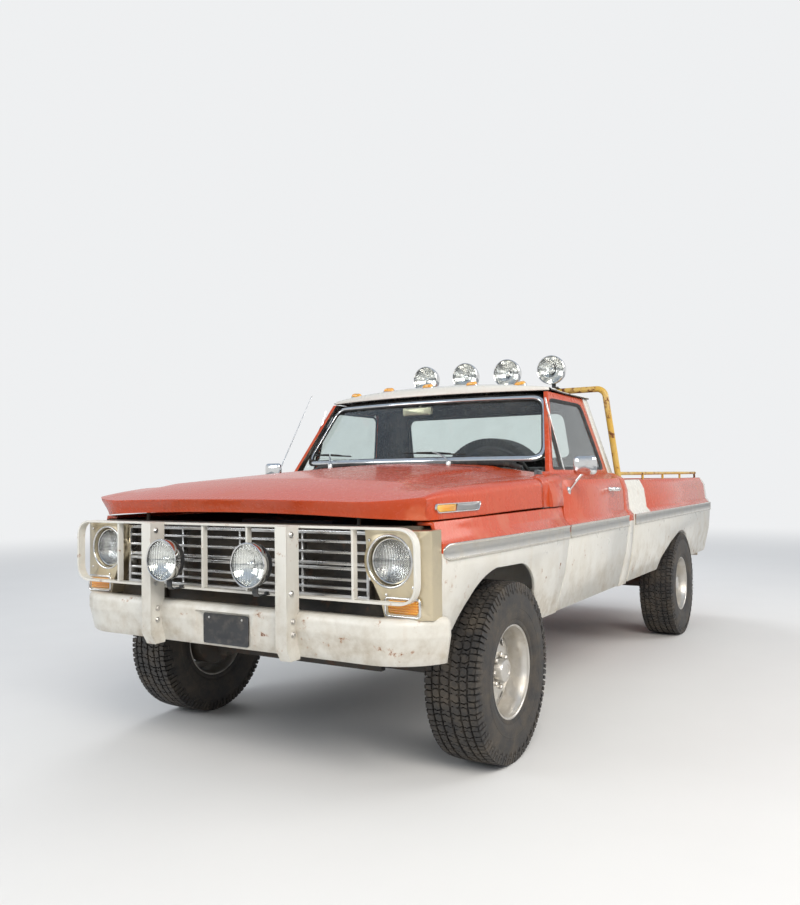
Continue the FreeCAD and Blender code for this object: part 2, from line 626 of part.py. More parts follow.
def crowned(name, table, inset, drop):
    """A crowned panel's solid through the stations of a table, moved in by an inset."""
    sections = []
    for index, (station, half, edge, shoulder, crown) in enumerate(table):
        if inset != "0" and index == 0:
            station = "%s + %s" % (station, inset)
        half = "%s - %s" % (half, inset)
        ridge = "%s + (%s - %s) * 0.55 - %s" % (shoulder, crown, shoulder, inset)
        sections.append(outline("%s_%d" % (name, index), "front", station, (
            (half, "%s - %s" % (edge, drop)), (half + " - 4", "%s - 46" % shoulder,
                                               half + " - 17", "%s - 14 - %s" % (shoulder, inset)),
            (half + " - 62", "%s - %s" % (shoulder, inset)),
            (half + " - 300", ridge, "0", "%s - %s" % (crown, inset)),
            ("-(%s) + 300" % half, ridge), ("-(%s) + 62" % half, "%s - %s" % (shoulder, inset),
                                            "-(%s) + 17" % half, "%s - 14 - %s" % (shoulder, inset)),
            ("-(%s) + 4" % half, "%s - 46" % shoulder), ("-(%s)" % half, "%s - %s" % (edge, drop)),
        )))
    return loft(name, sections)


cab_outer = common("cab_outer", cab_front_view("cab_front_outer", "0", "sill_low", "firewall", "cab_rear"),
                   cab_side_view("cab_side_outer", "0", "sill_low"))
cab_hollow = common("cab_hollow", cab_front_view("cab_front_inner", "roof_wall", "floor", "firewall", "cab_rear"),
                    cab_side_view("cab_side_inner", "firewall_wall", "floor"))
screen_front = common("screen_front", screen_band("nose_trim", "-900", "0"),
                      box("above_cowl", ("-side_limit", "side_limit"), ("0", "3000"), ("screen_low - 60", "roof_top + 200")))
screen_hollow = common("screen_hollow", cab_hollow, screen_band("behind_screen", "firewall_wall", "1500"))
low_hollow = common("low_hollow", cab_hollow, box("below_screen", ("-side_limit", "side_limit"), ("0", "3000"),
                                                  ("floor", "screen_low - 50")))
fender_bay = pair("fender_bay", slab("fender_bay_left", "side", "door_inner", "side_limit", (
    ("firewall - 10", "sill_low - 10"), ("door_foot + 8", "sill_low - 10"), ("door_front + 8", "moulding_low + 35"),
    ("door_front + 12", "fender_top + fender_rise + hood_gap"),
    ("firewall - 10", "fender_top + fender_rise + hood_gap"))))
door_hole = pair("door_hole", door_prism("door_hole_low", "door_inner", "side_limit", "door_gap", "door_rear_gap",
                                         "door_gap", "20"))
window_hole = pair("window_hole", common(
    "window_hole_left", door_prism("door_hole_high", "half_width - 400", "side_limit", "door_gap", "door_rear_gap", "door_gap", "20"),
    box("above_belt", ("door_inner - 370", "side_limit"), ("1300", "2800"), ("belt_edge - 10", "drip + 300"))))
SCREEN = (("-(glass_half - 68)", "screen_low + 20"), ("glass_half - 68", "screen_low + 20"),
          ("drip_half - 32", "drip - 38"), ("-(drip_half - 32)", "drip - 38"))
screen_hole = slab("screen_hole", "front", "screen_foot - 60", "screen_foot + 560", SCREEN)
REAR_GLASS = (("-610", "belt + 92"), ("610", "belt + 92"), ("590", "drip - 68"), ("-590", "drip - 68"))
rear_hole = slab("rear_hole", "front", "cab_rear - 220", "cab_rear + 20", REAR_GLASS)
underfloor = box("underfloor", ("-half_width + 200", "half_width - 200"), ("0", "3000"), ("0", "floor - floor_wall"))
hinge_pocket = pair("hinge_pocket", box("hinge_pocket_left", ("door_inner - 18", "door_inner + 1"),
                                        ("door_foot - 10", "hinge_station + 60"), ("sill_low - 1", "floor + 1")))
cab_body = cut("cab_body", cab_outer, underfloor, screen_front, screen_hollow, low_hollow, fender_bay,
               door_hole, hinge_pocket, window_hole, screen_hole, rear_hole)
cowl = cut("cowl", crowned("cowl_outer", COWL_TABLE, "0", "0"), crowned("cowl_inner", COWL_TABLE, "hood_wall", "30"),
           box("cowl_inner_front", ("-half_width + 80", "half_width - 80"), ("hood_rear", "hood_rear + 60"),
           ("fender_top - 77", "shoulder - 20")),
           screen_band("cowl_behind", "2", "1500"),
           pair("cowl_door", door_prism("cowl_door_left", "half_width - 300", "side_limit", "door_gap", "door_rear_gap",
                                        "door_gap", "20")))
seat_riser = box("seat_riser", ("-seat_half + 30", "seat_half - 30"), ("seat_front + 40", "seat_front + 480"),
                 ("floor", "seat_top - 160"))
door_seals = pair("door_seals", box("door_seal", ("door_inner - 10", "door_inner + 12 - hinge_fit"),
                                    ("door_front + 100", "door_rear - 120"), ("sill_low + 30", "floor - 10")))
cab_whole = joined("cab_whole", cab_body, cowl, seat_riser, door_seals)
roof_zone = box("roof_zone", ("-side_limit", "side_limit"), ("0", "3000"), ("drip", "roof_top + 200"))
piece("cab_shell", cut("cab_shell", cab_whole, roof_zone))
piece("cab_roof", common("cab_roof", cab_body, roof_zone))

screen_glass = common("screen_glass", screen_band("screen_sheet", "8", "8 + glass"), screen_hole)


def rear_face(height, depth):
    """Station of the cab's rear face at a height, less a depth."""
    return "cab_rear - 120 * (%s - belt) / (drip - belt) - %s" % (height, depth)


LOW, HIGH = "belt + 60", "drip - 40"
rear_glass = common("rear_glass", rear_hole, slab("rear_sheet", "side", "-800", "800", (
    (rear_face(LOW, "8"), LOW), (rear_face(LOW, "8 + glass"), LOW),
    (rear_face(HIGH, "8 + glass"), HIGH), (rear_face(HIGH, "8"), HIGH))))
piece("cab_glass", together("cab_glass", screen_glass, rear_glass))

COLUMN_TOP = ("wheel_x", "wheel_station - (34 + hinge_fit) * cos(wheel_tilt)",
              "wheel_height - (34 + hinge_fit) * sin(wheel_tilt)")
COLUMN_LOW = "wheel_height - (wheel_station - firewall) * tan(wheel_tilt)"
piece("dashboard", joined(
    "dashboard",
    slab("dash_panel", "side", "-half_width + 200", "half_width - 200", (
        ("firewall + firewall_wall", "1060"), ("firewall + firewall_wall", "1200"), ("1560", "1225"),
        ("1610", "1205"), ("1600", "1090"), ("1540", "1060"))),
    cut("column", slanted_rod("column_tube", "26", COLUMN_TOP, ("wheel_x", "firewall", COLUMN_LOW)),
        box("column_trim", ("0", "1000"), ("firewall - 200", "firewall + firewall_wall"), ("500", "1200"))),
    box("column_bracket", ("wheel_x - 30", "wheel_x + 30"), ("1545", "1590"),
        ("wheel_height - (wheel_station - 1560) * tan(wheel_tilt)", "1062")),
))
cushion = box("cushion", ("-seat_half", "seat_half"), ("seat_front", "seat_front + 470"),
              ("seat_top - 160 + hinge_fit", "seat_top"))
seat_back = slab("seat_back", "side", "-seat_half", "seat_half", (
    ("seat_front + 470 + hinge_fit", "seat_top - 100"), ("seat_front + 610", "seat_top - 100"),
    ("seat_front + 690", "seat_top + 330"), ("seat_front + 565", "seat_top + 330")))
piece("bench_seat", together("bench_seat", cushion, seat_back))

# Steering wheel: a ring, a hub and three spokes, made flat and then tilted
ring = document.addObject("Part::Torus", "steering_ring")
bind(ring, Radius1="steering_radius", Radius2="13")
hub = document.addObject("Part::Cylinder", "steering_hub")
bind(hub, Radius="36", Height="50", Placement__Base__z="-34")
spokes = []
for index, angle in enumerate((90, 210, 330)):
    spoke = document.addObject("Part::Box", "spoke_%d" % index)
    bind(spoke, Length="steering_radius", Width="22", Height="10")
    spoke.Placement = FreeCAD.Placement(V(0, 0, 0), FreeCAD.Rotation(V(0, 0, 1), angle)).multiply(
        FreeCAD.Placement(V(0, -11, -12), FreeCAD.Rotation()))
    spokes.append(spoke)
steering_wheel = joined("steering_wheel", ring, hub, *spokes)
steering_wheel.Placement.Rotation = FreeCAD.Rotation(V(-1, 0, 0), 90)
bind(steering_wheel, Placement__Rotation__Angle="90 - wheel_tilt")
bind(steering_wheel, Placement__Base__x="wheel_x", Placement__Base__y=back("wheel_station"))
bind(steering_wheel, Placement__Base__z="wheel_height")
piece("steering_wheel", steering_wheel)

# Doors

door_ring = slab("door_ring", "front", "door_foot - 10", "door_rear + 30", side_points(SIDE, "0") + [
    ("glass_half", "belt"), ("drip_half", "drip"), ("drip_half - frame_wall", "drip"),
    ("glass_half - frame_wall", "belt + 4"), ("glass_half - door_wall", "belt - 6"),
    ("half_width - belt_tuck - door_wall", "belt_edge"), ("half_width - shoulder_tuck - door_wall", "shoulder"),
    ("half_width - swell_tuck - door_wall - 20", "swell_low"), ("half_width - sill_tuck - door_wall", "floor"),
    ("half_width - sill_tuck - door_wall", "sill_low"),
])
WINDOW = (("door_front + 140", "belt + 24"), ("door_rear - 62", "belt + 24"),
          ("door_rear - 178", "door_head - 44"), ("door_front + 376", "door_head - 44"))
window = slab("window", "side", "half_width - 400", "side_limit", WINDOW)
divider = box("vent_divider", ("half_width - 400", "side_limit"), ("door_front + 290", "door_front + 306"), ("belt + 10", "drip"))
door = cut("door", common("door_blank", door_ring, door_prism("door_shape", "half_width - 400", "side_limit", "0", "0", "0", "0")),
           cut("window_clear", window, divider))
piece("door_left", door)
piece("door_right", mirrored("door_right", door))
pane = common("pane", slab("pane_sheet", "front", "door_foot", "door_rear", (
    ("glass_half - 10", "belt"), ("drip_half - 10", "drip"), ("drip_half - 10 - glass", "drip"),
    ("glass_half - 10 - glass", "belt"))), cut("pane_outline", window, divider))
piece("door_glass_left", pane)
piece("door_glass_right", mirrored("door_glass_right", pane))


def moulding(name, low, high):
    """A straight run of the side moulding."""
    return box(name, ("half_width", "half_width + moulding_depth"), (low, high), ("moulding_low", "moulding_high"))


door_trim = together(
    "door_trim",
    common("door_moulding", moulding("door_moulding_bar", "door_foot", "door_rear + 30"),
           door_prism("door_moulding_ends", "half_width - 400", "side_limit", "0", "0", "0", "0")),
    joined("mirror", box("mirror_head", ("half_width - 15", "half_width + 110"), ("1596", "1622"), ("shoulder + 100", "shoulder + 200")),
           slab("mirror_arm", "front", "1603", "1617", (
               ("half_width - shoulder_tuck - 24", "shoulder + 10"), ("half_width + 20", "shoulder + 110"), ("half_width + 40", "shoulder + 110"),
               ("half_width - shoulder_tuck + 16", "shoulder + 10")))),
    box("handle", ("half_width - shoulder_tuck - 6", "half_width + 14"), ("door_rear - 290", "door_rear - 160"),
        ("shoulder - 4", "shoulder + 26")),
)
door_trim = cut("door_trim_seated", door_trim, door)
piece("door_trim_left", door_trim)
piece("door_trim_right", mirrored("door_trim_right", door_trim))

# Fenders, hood and the sheet metal between them

FENDER_TABLE = (
    # station, taper, rise of the top edge
    ("fender_front", "fender_taper", "0"), ("700", "fender_taper * 0.25", "fender_rise * 0.4"),
    ("fender_rear", "0", "fender_rise"),
)
fender_rings = []
for index, (station, taper, rise) in enumerate(FENDER_TABLE):
    edge = ("half_width - recess - 12 - (%s)" % taper, "fender_top + %s" % rise)
    inner_edge = ("half_width - recess - 12 - fender_wall - (%s)" % taper, "fender_top + %s - fender_wall" % rise)
    outer = side_points(SIDE[:5], taper)
    inner = side_points(SIDE[:5], "%s + fender_wall" % taper)
    fender_rings.append(outline("fender_ring_%d" % index, "front", station, outer + [
        edge, (edge[0] + " - 70", edge[1]), (edge[0] + " - 70", inner_edge[1]), inner_edge] + inner[::-1]))
ARCH = (
    ("100", "450"), ("100", "640"), ("arch_front", "650", "arch_front + 115", "arch_top - 85"),
    ("front_axle - 150", "arch_top"), ("front_axle + 110", "arch_top - 6", "front_axle + 225", "arch_top - 55"),
    ("front_axle + 300", "695"), ("front_axle + 375", "600"), ("front_axle + 430", "450"),
)
fender = cut("fender", loft("fender_blank", fender_rings), slab("arch", "side", "half_width - 500", "side_limit", ARCH),
             door_prism("fender_door", "half_width - 500", "side_limit", "door_gap", "door_rear_gap", "door_gap", "20"))
piece("fender_left", fender)
piece("fender_right", mirrored("fender_right", fender))

hood_blank = crowned("hood_outer", HOOD_TABLE, "0", "0")
hood = cut("hood", hood_blank, crowned("hood_inner", HOOD_TABLE, "hood_wall", "30"),
           slab("nose_cut", "side", "-1000", "1000", (
               ("hood_front - 60", "1000"), ("hood_front - 60", "1140"), ("hood_front", "1140"),
               ("hood_front + 38", "side_limit"), ("hood_front + 38", "1000"))))
piece("hood", hood)

apron = slab("apron", "front", "170", "firewall", (
    ("apron_half", "620"), ("apron_half", "900"), ("half_width - 125", "fender_top - fender_wall - 12"),
    ("half_width - 125", "fender_top - fender_wall"), ("apron_half - 12", "906"), ("apron_half - 12", "632"),
    ("frame_half", "632"), ("frame_half", "620")))
support = cut("support", box("support_plate", ("-half_width + 120", "half_width - 120"), ("support", "support + 20"), ("620", "1062")),
              box("support_hole", ("-480", "480"), ("140", "180"), ("rail_horn + rail_depth + 12", "1020")),
              box("rail_notch", ("-frame_half", "frame_half"), ("140", "180"), ("600", "rail_horn + rail_depth")))
radiator = box("radiator", ("-490", "490"), ("support + 20", "support + 80"),
               ("rail_horn + rail_depth", "1025"))
stops = pair("hood_stops", common("hood_stop", rod("hood_stop_bar", "z", ("600", "support + 10", "1050"), "9", "250"),
                                  crowned("hood_under", HOOD_TABLE, "(hood_wall + hinge_fit)", "60")))
piece("inner_front", joined("inner_front", support, radiator, stops, pair("aprons", apron)))

# Front end: grille, lamps and bumper

grille_frame = cut("grille_frame", box("grille_outer", ("-grille_half", "grille_half"), ("grille_face", "support"),
                                       ("grille_low", "grille_high")),
                   box("grille_inner", ("-grille_half + 14", "grille_half - 14"), ("grille_face - 10", "160"),
                       ("grille_low + 14", "grille_high - 14")))
# Grille bars: height of the middle, thickness
BARS = ((996, 11), (953, 11), (909, 13), (890, 13), (846, 11), (812, 11))
bars = [box("grille_bar_%d" % height, ("-grille_half + 7", "grille_half - 7"), ("grille_face + 4", "grille_face + 28"),
            ("%d - %d / 2" % (height, thick), "%d + %d / 2" % (height, thick))) for height, thick in BARS]
uprights = [box("grille_upright_%d" % number, ("%s - 5" % x, "%s + 5" % x), ("grille_face + 16", "support"),
                ("grille_low + 7", "grille_high - 7")) for number, x in enumerate(("-340", "0", "340"))]
piece("grille", joined("grille", grille_frame, *bars, *uprights))

BEZEL = (("grille_half", "1050"), ("grille_half + 16", "885"), ("lamp_half - 43", "782"), ("lamp_half - 24", "716"),
         ("lamp_half + 168", "716"), ("lamp_half + 168", "1050"))
BEZEL_IN = (("grille_half + 16", "1036"), ("grille_half + 29", "888"), ("lamp_half - 30", "788"),
            ("lamp_half - 12", "730"), ("lamp_half + 156", "730"), ("lamp_half + 156", "1036"))
bezel = cut("bezel", slab("bezel_outer", "front", "bezel_face", "support", BEZEL),
            slab("bezel_inner", "front", "bezel_face + bezel_wall", "160", BEZEL_IN),
            rod("bezel_bore", "y", ("lamp_half", "bezel_face - 10", "lamp_height"), "lamp_radius + 4", "60"),
            box("signal_bore", ("signal_half - 69 - hinge_fit", "signal_half + 69 + hinge_fit"), ("bezel_face - 10", "bezel_face + 30"),
                ("733 - hinge_fit", "789 + hinge_fit")))
piece("lamp_bezels", pair("lamp_bezels", bezel))


def lamp(name, x, face, height, radius, depth, dome):
    """A round lamp: a lens cut from a sphere, in a rim with a bowl behind it."""
    rim = "%s + %s" % (face, dome)
    bowl = turned(name + "_bowl", "side", x, (x, face, height), V(0, 1, 0), (
        (rim, "%s + %s" % (height, radius)), (rim + " + 26", "%s + %s" % (height, radius)),
        ("%s + %s" % (face, depth), "%s + %s * 0.45" % (height, radius)), ("%s + %s" % (face, depth), height),
        (rim, height)))
    ball = "((%s * %s + %s * %s) / (2 * %s))" % (radius, radius, dome, dome, dome)
    sphere = document.addObject("Part::Sphere", name + "_ball")
    bind(sphere, Radius=ball, Placement__Base__x=x, Placement__Base__y=back("%s + %s" % (face, ball)))
    bind(sphere, Placement__Base__z=height)
    lens = common(name + "_lens", sphere, rod(name + "_front", "y", (x, face + " - 1", height), radius, dome + " + 1"))
    return joined(name, bowl, lens)


lamps = [lamp("headlamp_%d" % index, "%d * lamp_half" % side, "bezel_face + 4", "lamp_height", "lamp_radius",
              "support - bezel_face - 4", "16")
         for index, side in enumerate((-1, 1))]
for index, side in enumerate((-1, 1)):
    fog = lamp("fog_%d" % index, "%d * fog_half" % side, "-lamp_reach", "fog_height", "fog_radius", "92", "12")
    stud = box("fog_stud_%d" % index, ("%d * fog_half - 14" % side, "%d * fog_half + 14" % side),
               ("-lamp_reach + 45", "guard_station + 6"), ("guard_low + guard_tube", "guard_low + guard_tube + 16"))
    lamps.append(joined("fog_lamp_%d" % index, fog, stud))
for index, x in enumerate(("-480", "-160", "160", "480")):
    spot = lamp("spot_%d" % index, x, "rack_station - 150", "rack_top + 135", "spot_radius", "110", "12")
    foot = rod("spot_foot_%d" % index, "z", (x, "rack_station - 70", "rack_top + rack_tube"), "9", "50")
    clamp = box("spot_clamp_%d" % index, (x + " - 14", x + " + 14"), ("rack_station - 84", "rack_station + 6"),
                ("rack_top + rack_tube", "rack_top + rack_tube + 10"))
    lamps.append(joined("spot_lamp_%d" % index, spot, foot, clamp))
piece("round_lamps", together("round_lamps", *lamps))

signals = [box("turn_signal_%d" % index, ("%d * signal_half - 69" % side, "%d * signal_half + 69" % side),
               ("bezel_face - 2", "bezel_face + 22"), ("733", "789")) for index, side in enumerate((-1, 1))]
for index, x in enumerate(("-575", "-290", "0", "290", "575")):
    signals.append(box("roof_marker_%d" % index, (x + " - 40", x + " + 40"), ("1815", "1855"), ("roof_top - 35", "roof_top + 15")))
for index, side in enumerate((-1, 1)):
    signals.append(box("tail_lamp_%d" % index, ("%d * (bed_inner + 45) - 32" % side, "%d * (bed_inner + 45) + 32" % side),
                       ("bed_end", "bed_end + 16"), ("930", "1150")))
piece("signal_lamps", cut("signal_lamps", together("signal_lamp_set", *signals), cab_outer))

BUMPER = (("-bumper_half", "bumper_wrap"), ("-bumper_half", "55"), ("-bumper_half + 97", "0"), ("bumper_half - 97", "0"),
          ("bumper_half", "55"), ("bumper_half", "bumper_wrap"))
BUMPER_IN = (("-bumper_half + bumper_wall", "bumper_wrap + 20"), ("-bumper_half + bumper_wall", "60"),
             ("-bumper_half + 101", "bumper_wall"), ("bumper_half - 101", "bumper_wall"), ("bumper_half - bumper_wall", "60"),
             ("bumper_half - bumper_wall", "bumper_wrap + 20"))
bumper = joined(
    "bumper", cut("bumper_skin", slab("bumper_outer", "top", "bumper_low", "bumper_high", BUMPER),
                  slab("bumper_hollow", "top", "bumper_low - 10", "bumper_high - bumper_wall", BUMPER_IN),
                  box("bumper_back", ("-bumper_half + bumper_wall", "bumper_half - bumper_wall"),
                      ("bezel_face - 8", "400"), ("bumper_high - 2 * bumper_wall", "800"))),
    box("plate", ("-120", "148"), ("-6", "1"), ("bumper_low + 5", "690")),
    pair("bumper_brackets", box("bumper_bracket", ("frame_half - rail_width", "frame_half"),
                                ("bumper_wall", "rail_front"), ("rail_horn + 10", "rail_horn + 110"))),
)
piece("front_bumper", bumper)

hoop = tube("hoop", "guard_tube", "guard_bend", (
    ("-guard_half", "guard_station", "guard_low"), ("guard_half", "guard_station", "guard_low"),
    ("guard_half", "guard_station", "guard_high"), ("-guard_half", "guard_station", "guard_high")), closed=True)
post = cut("post", slab("post_bar", "side", "post_half - post_width / 2", "post_half + post_width / 2", (
    ("-post_depth", "bumper_low - 5"), ("0", "bumper_low - 5"), ("0", "bumper_high + 6"), ("guard_station - 12", "bumper_high + 6"),
    ("guard_station - 12", "guard_high + guard_tube"), ("-post_depth", "guard_high + guard_tube"))),
    box("post_groove", ("post_half - post_width / 2 + post_wall", "post_half + post_width / 2 - post_wall"),
        ("-post_depth + post_wall", "100"), ("bumper_low - 20", "guard_high + 40")))
guard_bars = [rod("guard_bar_%d" % index, "z", (x, "guard_station", "guard_low"), "8", "guard_high - guard_low")
              for index, x in enumerate(("-655", "-125", "125", "655"))]
piece("grille_guard", joined("grille_guard", hoop, pair("posts", post), *guard_bars))

# Bed, tailgate and rear bumper

bed_blank = slab("bed_side_blank", "front", "bed_front", "bed_end", side_points(
    [("sill_low + 8", "sill_tuck")] + list(SIDE[1:5]) + [("shoulder", "42"), ("bed_top", "75")], "0") + [
    ("bed_inner", "bed_top"), ("bed_inner", "bed_floor - bed_wall"),
    ("half_width - swell_tuck - 30", "bed_floor - bed_wall"),
    ("half_width - sill_tuck - 18", "sill_low + 8")])
REAR_ARCH = (
    (REAR_AXLE + " - 660", "500"), (REAR_AXLE + " - 546", "634"), (REAR_AXLE + " - 312", "745"),
    (REAR_AXLE + " - 90", "rear_arch_top", REAR_AXLE + " + 60", "rear_arch_top + 3"),
    (REAR_AXLE + " + 160", "rear_arch_top - 25"), (REAR_AXLE + " + 300", "690"), (REAR_AXLE + " + 400", "560"),
    (REAR_AXLE + " + 420", "500"),
)
bed_side = cut("bed_side", bed_blank, slab("rear_arch", "side", "half_width - 400", "side_limit", REAR_ARCH))
piece("bed_sides", pair("bed_sides", bed_side))


def well(name, low, high, radius):
    return slab(name, "side", low, high, (
        (REAR_AXLE + " - " + radius, "bed_floor - bed_wall", REAR_AXLE, "bed_floor - bed_wall + (%s) * 0.42" % radius),
        (REAR_AXLE + " + " + radius, "bed_floor - bed_wall")))


bed = cut("bed", joined(
    "bed_whole", box("bed_panel", ("-bed_inner", "bed_inner"), ("bed_front", "bed_end - tailgate_wall - 14"),
                     ("bed_floor - bed_wall", "bed_floor")),
    box("bed_headboard", ("-bed_inner", "bed_inner"), ("bed_front", "bed_front + bed_wall"), ("bed_floor", "bed_top")),
    pair("wheel_houses", well("wheel_house", "well_inner", "bed_inner", "well_radius"))),
    pair("well_hollows", well("well_hollow", "well_inner + 12", "bed_inner + 1", "(well_radius - 28)")))
bed_sills = [box("bed_sill_%d" % number, ("-frame_half", "frame_half"), (station, station + " + 60"),
                 (low, "bed_floor - bed_wall")) for number, (station, low) in enumerate((
                     ("3600", "rail_arch + rail_depth"), ("4560", "rail_arch + rail_depth")))]
piece("bed_floor", joined("bed_floor", bed, *bed_sills))

TAILGATE = ("-bed_inner + tailgate_gap", "bed_inner - tailgate_gap")
piece("tailgate", joined(
    "tailgate",
    box("tailgate_panel", TAILGATE, ("bed_end - 4 - tailgate_wall", "bed_end - 4"),
        ("bed_floor + tailgate_gap", "bed_top - 2")),
    rod("tailgate_pins", "x", ("-bed_inner + hinge_fit", "bed_end - 4 - tailgate_wall / 2", "tailgate_hinge"), "9",
        "2 * (bed_inner - hinge_fit)")))
rear_bumper = cut("rear_bumper", joined(
    "rear_bumper_whole", box("rear_bumper_face", ("-half_width + 140", "half_width - 140"), ("tail_end - 12", "tail_end"), ("500", "640")),
    box("rear_step", ("-half_width + 140", "half_width - 140"), ("tail_end - 100", "tail_end"), ("628", "640")),
    pair("rear_brackets", box("rear_bracket", ("frame_half - rail_width", "frame_half"), ("rail_end", "tail_end - 12"),
                              ("rail_horn + 10", "628")))),
    rod("ball_hole", "z", ("0", "tail_end - 50", "600"), "12.9", "80"))
piece("rear_bumper", rear_bumper)

# Cargo rack, side mouldings and spare wheel

RACK_FOOT = "bed_inner + 40"
rack = joined(
    "rack_whole",
    tube("rack_hoop", "rack_tube", "60", (
        ("-(%s)" % RACK_FOOT, "rack_station", "bed_top - 12"), ("-rack_half", "rack_station", "rack_top"),
        ("rack_half", "rack_station", "rack_top"), (RACK_FOOT, "rack_station", "bed_top - 12"))),
    pair("side_rails", joined(
        "side_rail", rod("rail_bar_left", "y", (RACK_FOOT, "rack_station", "side_rail"), "rail_tube",
                         "bed_end - rack_station - 60"),
        *[rod("rail_post_%d" % index, "z", (RACK_FOOT, "rack_station + %d" % (index * 590), "bed_top"), "rail_tube * 0.8",
              "side_rail - bed_top") for index in range(1, 5)])),
)
rack_trim = box("rack_trim", ("-half_width", "half_width"), ("rack_station - 60", "bed_end"), ("bed_top - 60", "bed_top"))
piece("cargo_rack", cut("cargo_rack_seated", rack, rack_trim))

piece("side_mouldings", pair("side_mouldings", together(
    "moulding_runs", loft("fender_moulding", [outline("fender_moulding_%d" % index, "front", station, (
        ("half_width - (%s)" % taper, "moulding_low"), ("half_width + moulding_depth - (%s)" % taper, "moulding_low"),
        ("half_width + moulding_depth - (%s)" % taper, "moulding_high"), ("half_width - (%s)" % taper, "moulding_high")))
        for index, (station, taper, rise) in enumerate(FENDER_TABLE)]),
    moulding("bed_moulding", "bed_front", "bed_end"))))

spare_height = "bed_floor + tyre_radius"
spare = [turned("spare_" + word, "side", "-55", ("-55", "spare_station", spare_height), V(0, 1, 0), [
    ("spare_station + (%s)" % x, "%s + (%s)" % (spare_height, radius)) for x, radius in table])
    for word, table in (("tyre", TYRE), ("rim", RIM))]
piece("spare_wheel", joined("spare_wheel", *spare))

document.recompute()

# Check and write
for thing in document.Objects:
    if "Invalid" in thing.State or "Error" in thing.State:
        raise RuntimeError("failed: %s %s" % (thing.Name, thing.State))
os.makedirs("parts", exist_ok=True)
for solid in PIECES:
    if solid.Shape.isNull() or not solid.Shape.isValid():
        raise RuntimeError("bad shape: " + solid.Label)
    solid.Shape.exportStep("parts/%s.step" % solid.Label)
print("sub-parts:", len(PIECES))
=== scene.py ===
import math

import bmesh
import bpy
from mathutils import Matrix, Vector


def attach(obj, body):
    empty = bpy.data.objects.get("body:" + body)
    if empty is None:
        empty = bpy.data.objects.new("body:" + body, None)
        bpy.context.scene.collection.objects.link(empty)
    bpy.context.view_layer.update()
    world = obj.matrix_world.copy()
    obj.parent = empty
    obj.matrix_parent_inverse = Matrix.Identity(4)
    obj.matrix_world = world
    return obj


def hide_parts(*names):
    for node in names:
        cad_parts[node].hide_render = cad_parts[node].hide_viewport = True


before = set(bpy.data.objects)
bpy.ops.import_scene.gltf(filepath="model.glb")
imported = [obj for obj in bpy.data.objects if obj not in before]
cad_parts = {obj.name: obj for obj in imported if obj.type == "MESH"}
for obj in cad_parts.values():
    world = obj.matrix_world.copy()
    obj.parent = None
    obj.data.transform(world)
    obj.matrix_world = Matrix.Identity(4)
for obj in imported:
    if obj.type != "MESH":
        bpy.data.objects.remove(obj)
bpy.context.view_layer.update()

# Camera and studio. The camera stands low off the truck's left front corner, as in the
# photograph. A pale floor runs into a pale surround, under broad soft lights.

MIDDLE = 2.6185  # the frame's origin behind the face of the front bumper
scene = bpy.context.scene
scene.view_settings.view_transform = "Standard"
camera = bpy.data.objects.new("camera", bpy.data.cameras.new("camera"))
scene.collection.objects.link(camera)
YAW, PITCH, ROLL = (math.radians(angle) for angle in (30.98, 1.70, -0.70))
camera.matrix_world = (
    Matrix.Translation((2.437, -2.578 - MIDDLE, 1.251)) @ Matrix.Rotation(YAW, 4, "Z")
    @ Matrix.Rotation(math.pi / 2 + PITCH, 4, "X") @ Matrix.Rotation(ROLL, 4, "Z"))
camera.data.lens = 36 * 823.7 / 905
camera.data.clip_end = 300
scene.camera = camera


class Value:
    """A shader socket in plain arithmetic: each operation adds its maths node."""

    def __init__(self, finish, socket):
        self.finish = finish
        self.socket = socket

    def maths(self, operation, *terms):
        return self.finish.node("ShaderNodeMath", {"operation": operation}, dict(enumerate(terms)))

    def __add__(self, other):
        return self.maths("ADD", self, other)

    def __radd__(self, other):
        return self.maths("ADD", other, self)

    def __sub__(self, other):
        return self.maths("SUBTRACT", self, other)

    def __rsub__(self, other):
        return self.maths("SUBTRACT", other, self)

    def __mul__(self, other):
        return self.maths("MULTIPLY", self, other)

    def __rmul__(self, other):
        return self.maths("MULTIPLY", other, self)

    def __truediv__(self, other):
        return self.maths("DIVIDE", self, other)

    def __pow__(self, other):
        return self.maths("POWER", self, other)

    def __abs__(self):
        return self.maths("ABSOLUTE", self)

    def least(self, other):
        return self.maths("MINIMUM", self, other)

    def most(self, other):
        return self.maths("MAXIMUM", self, other)

    def between(self, low, high):
        """0 below low, 1 above high and a smooth climb between; falls if low is the larger."""
        return self.finish.node("ShaderNodeMapRange", {"interpolation_type": "SMOOTHSTEP"},
                                {0: self, 1: low, 2: high, 3: 0.0, 4: 1.0})


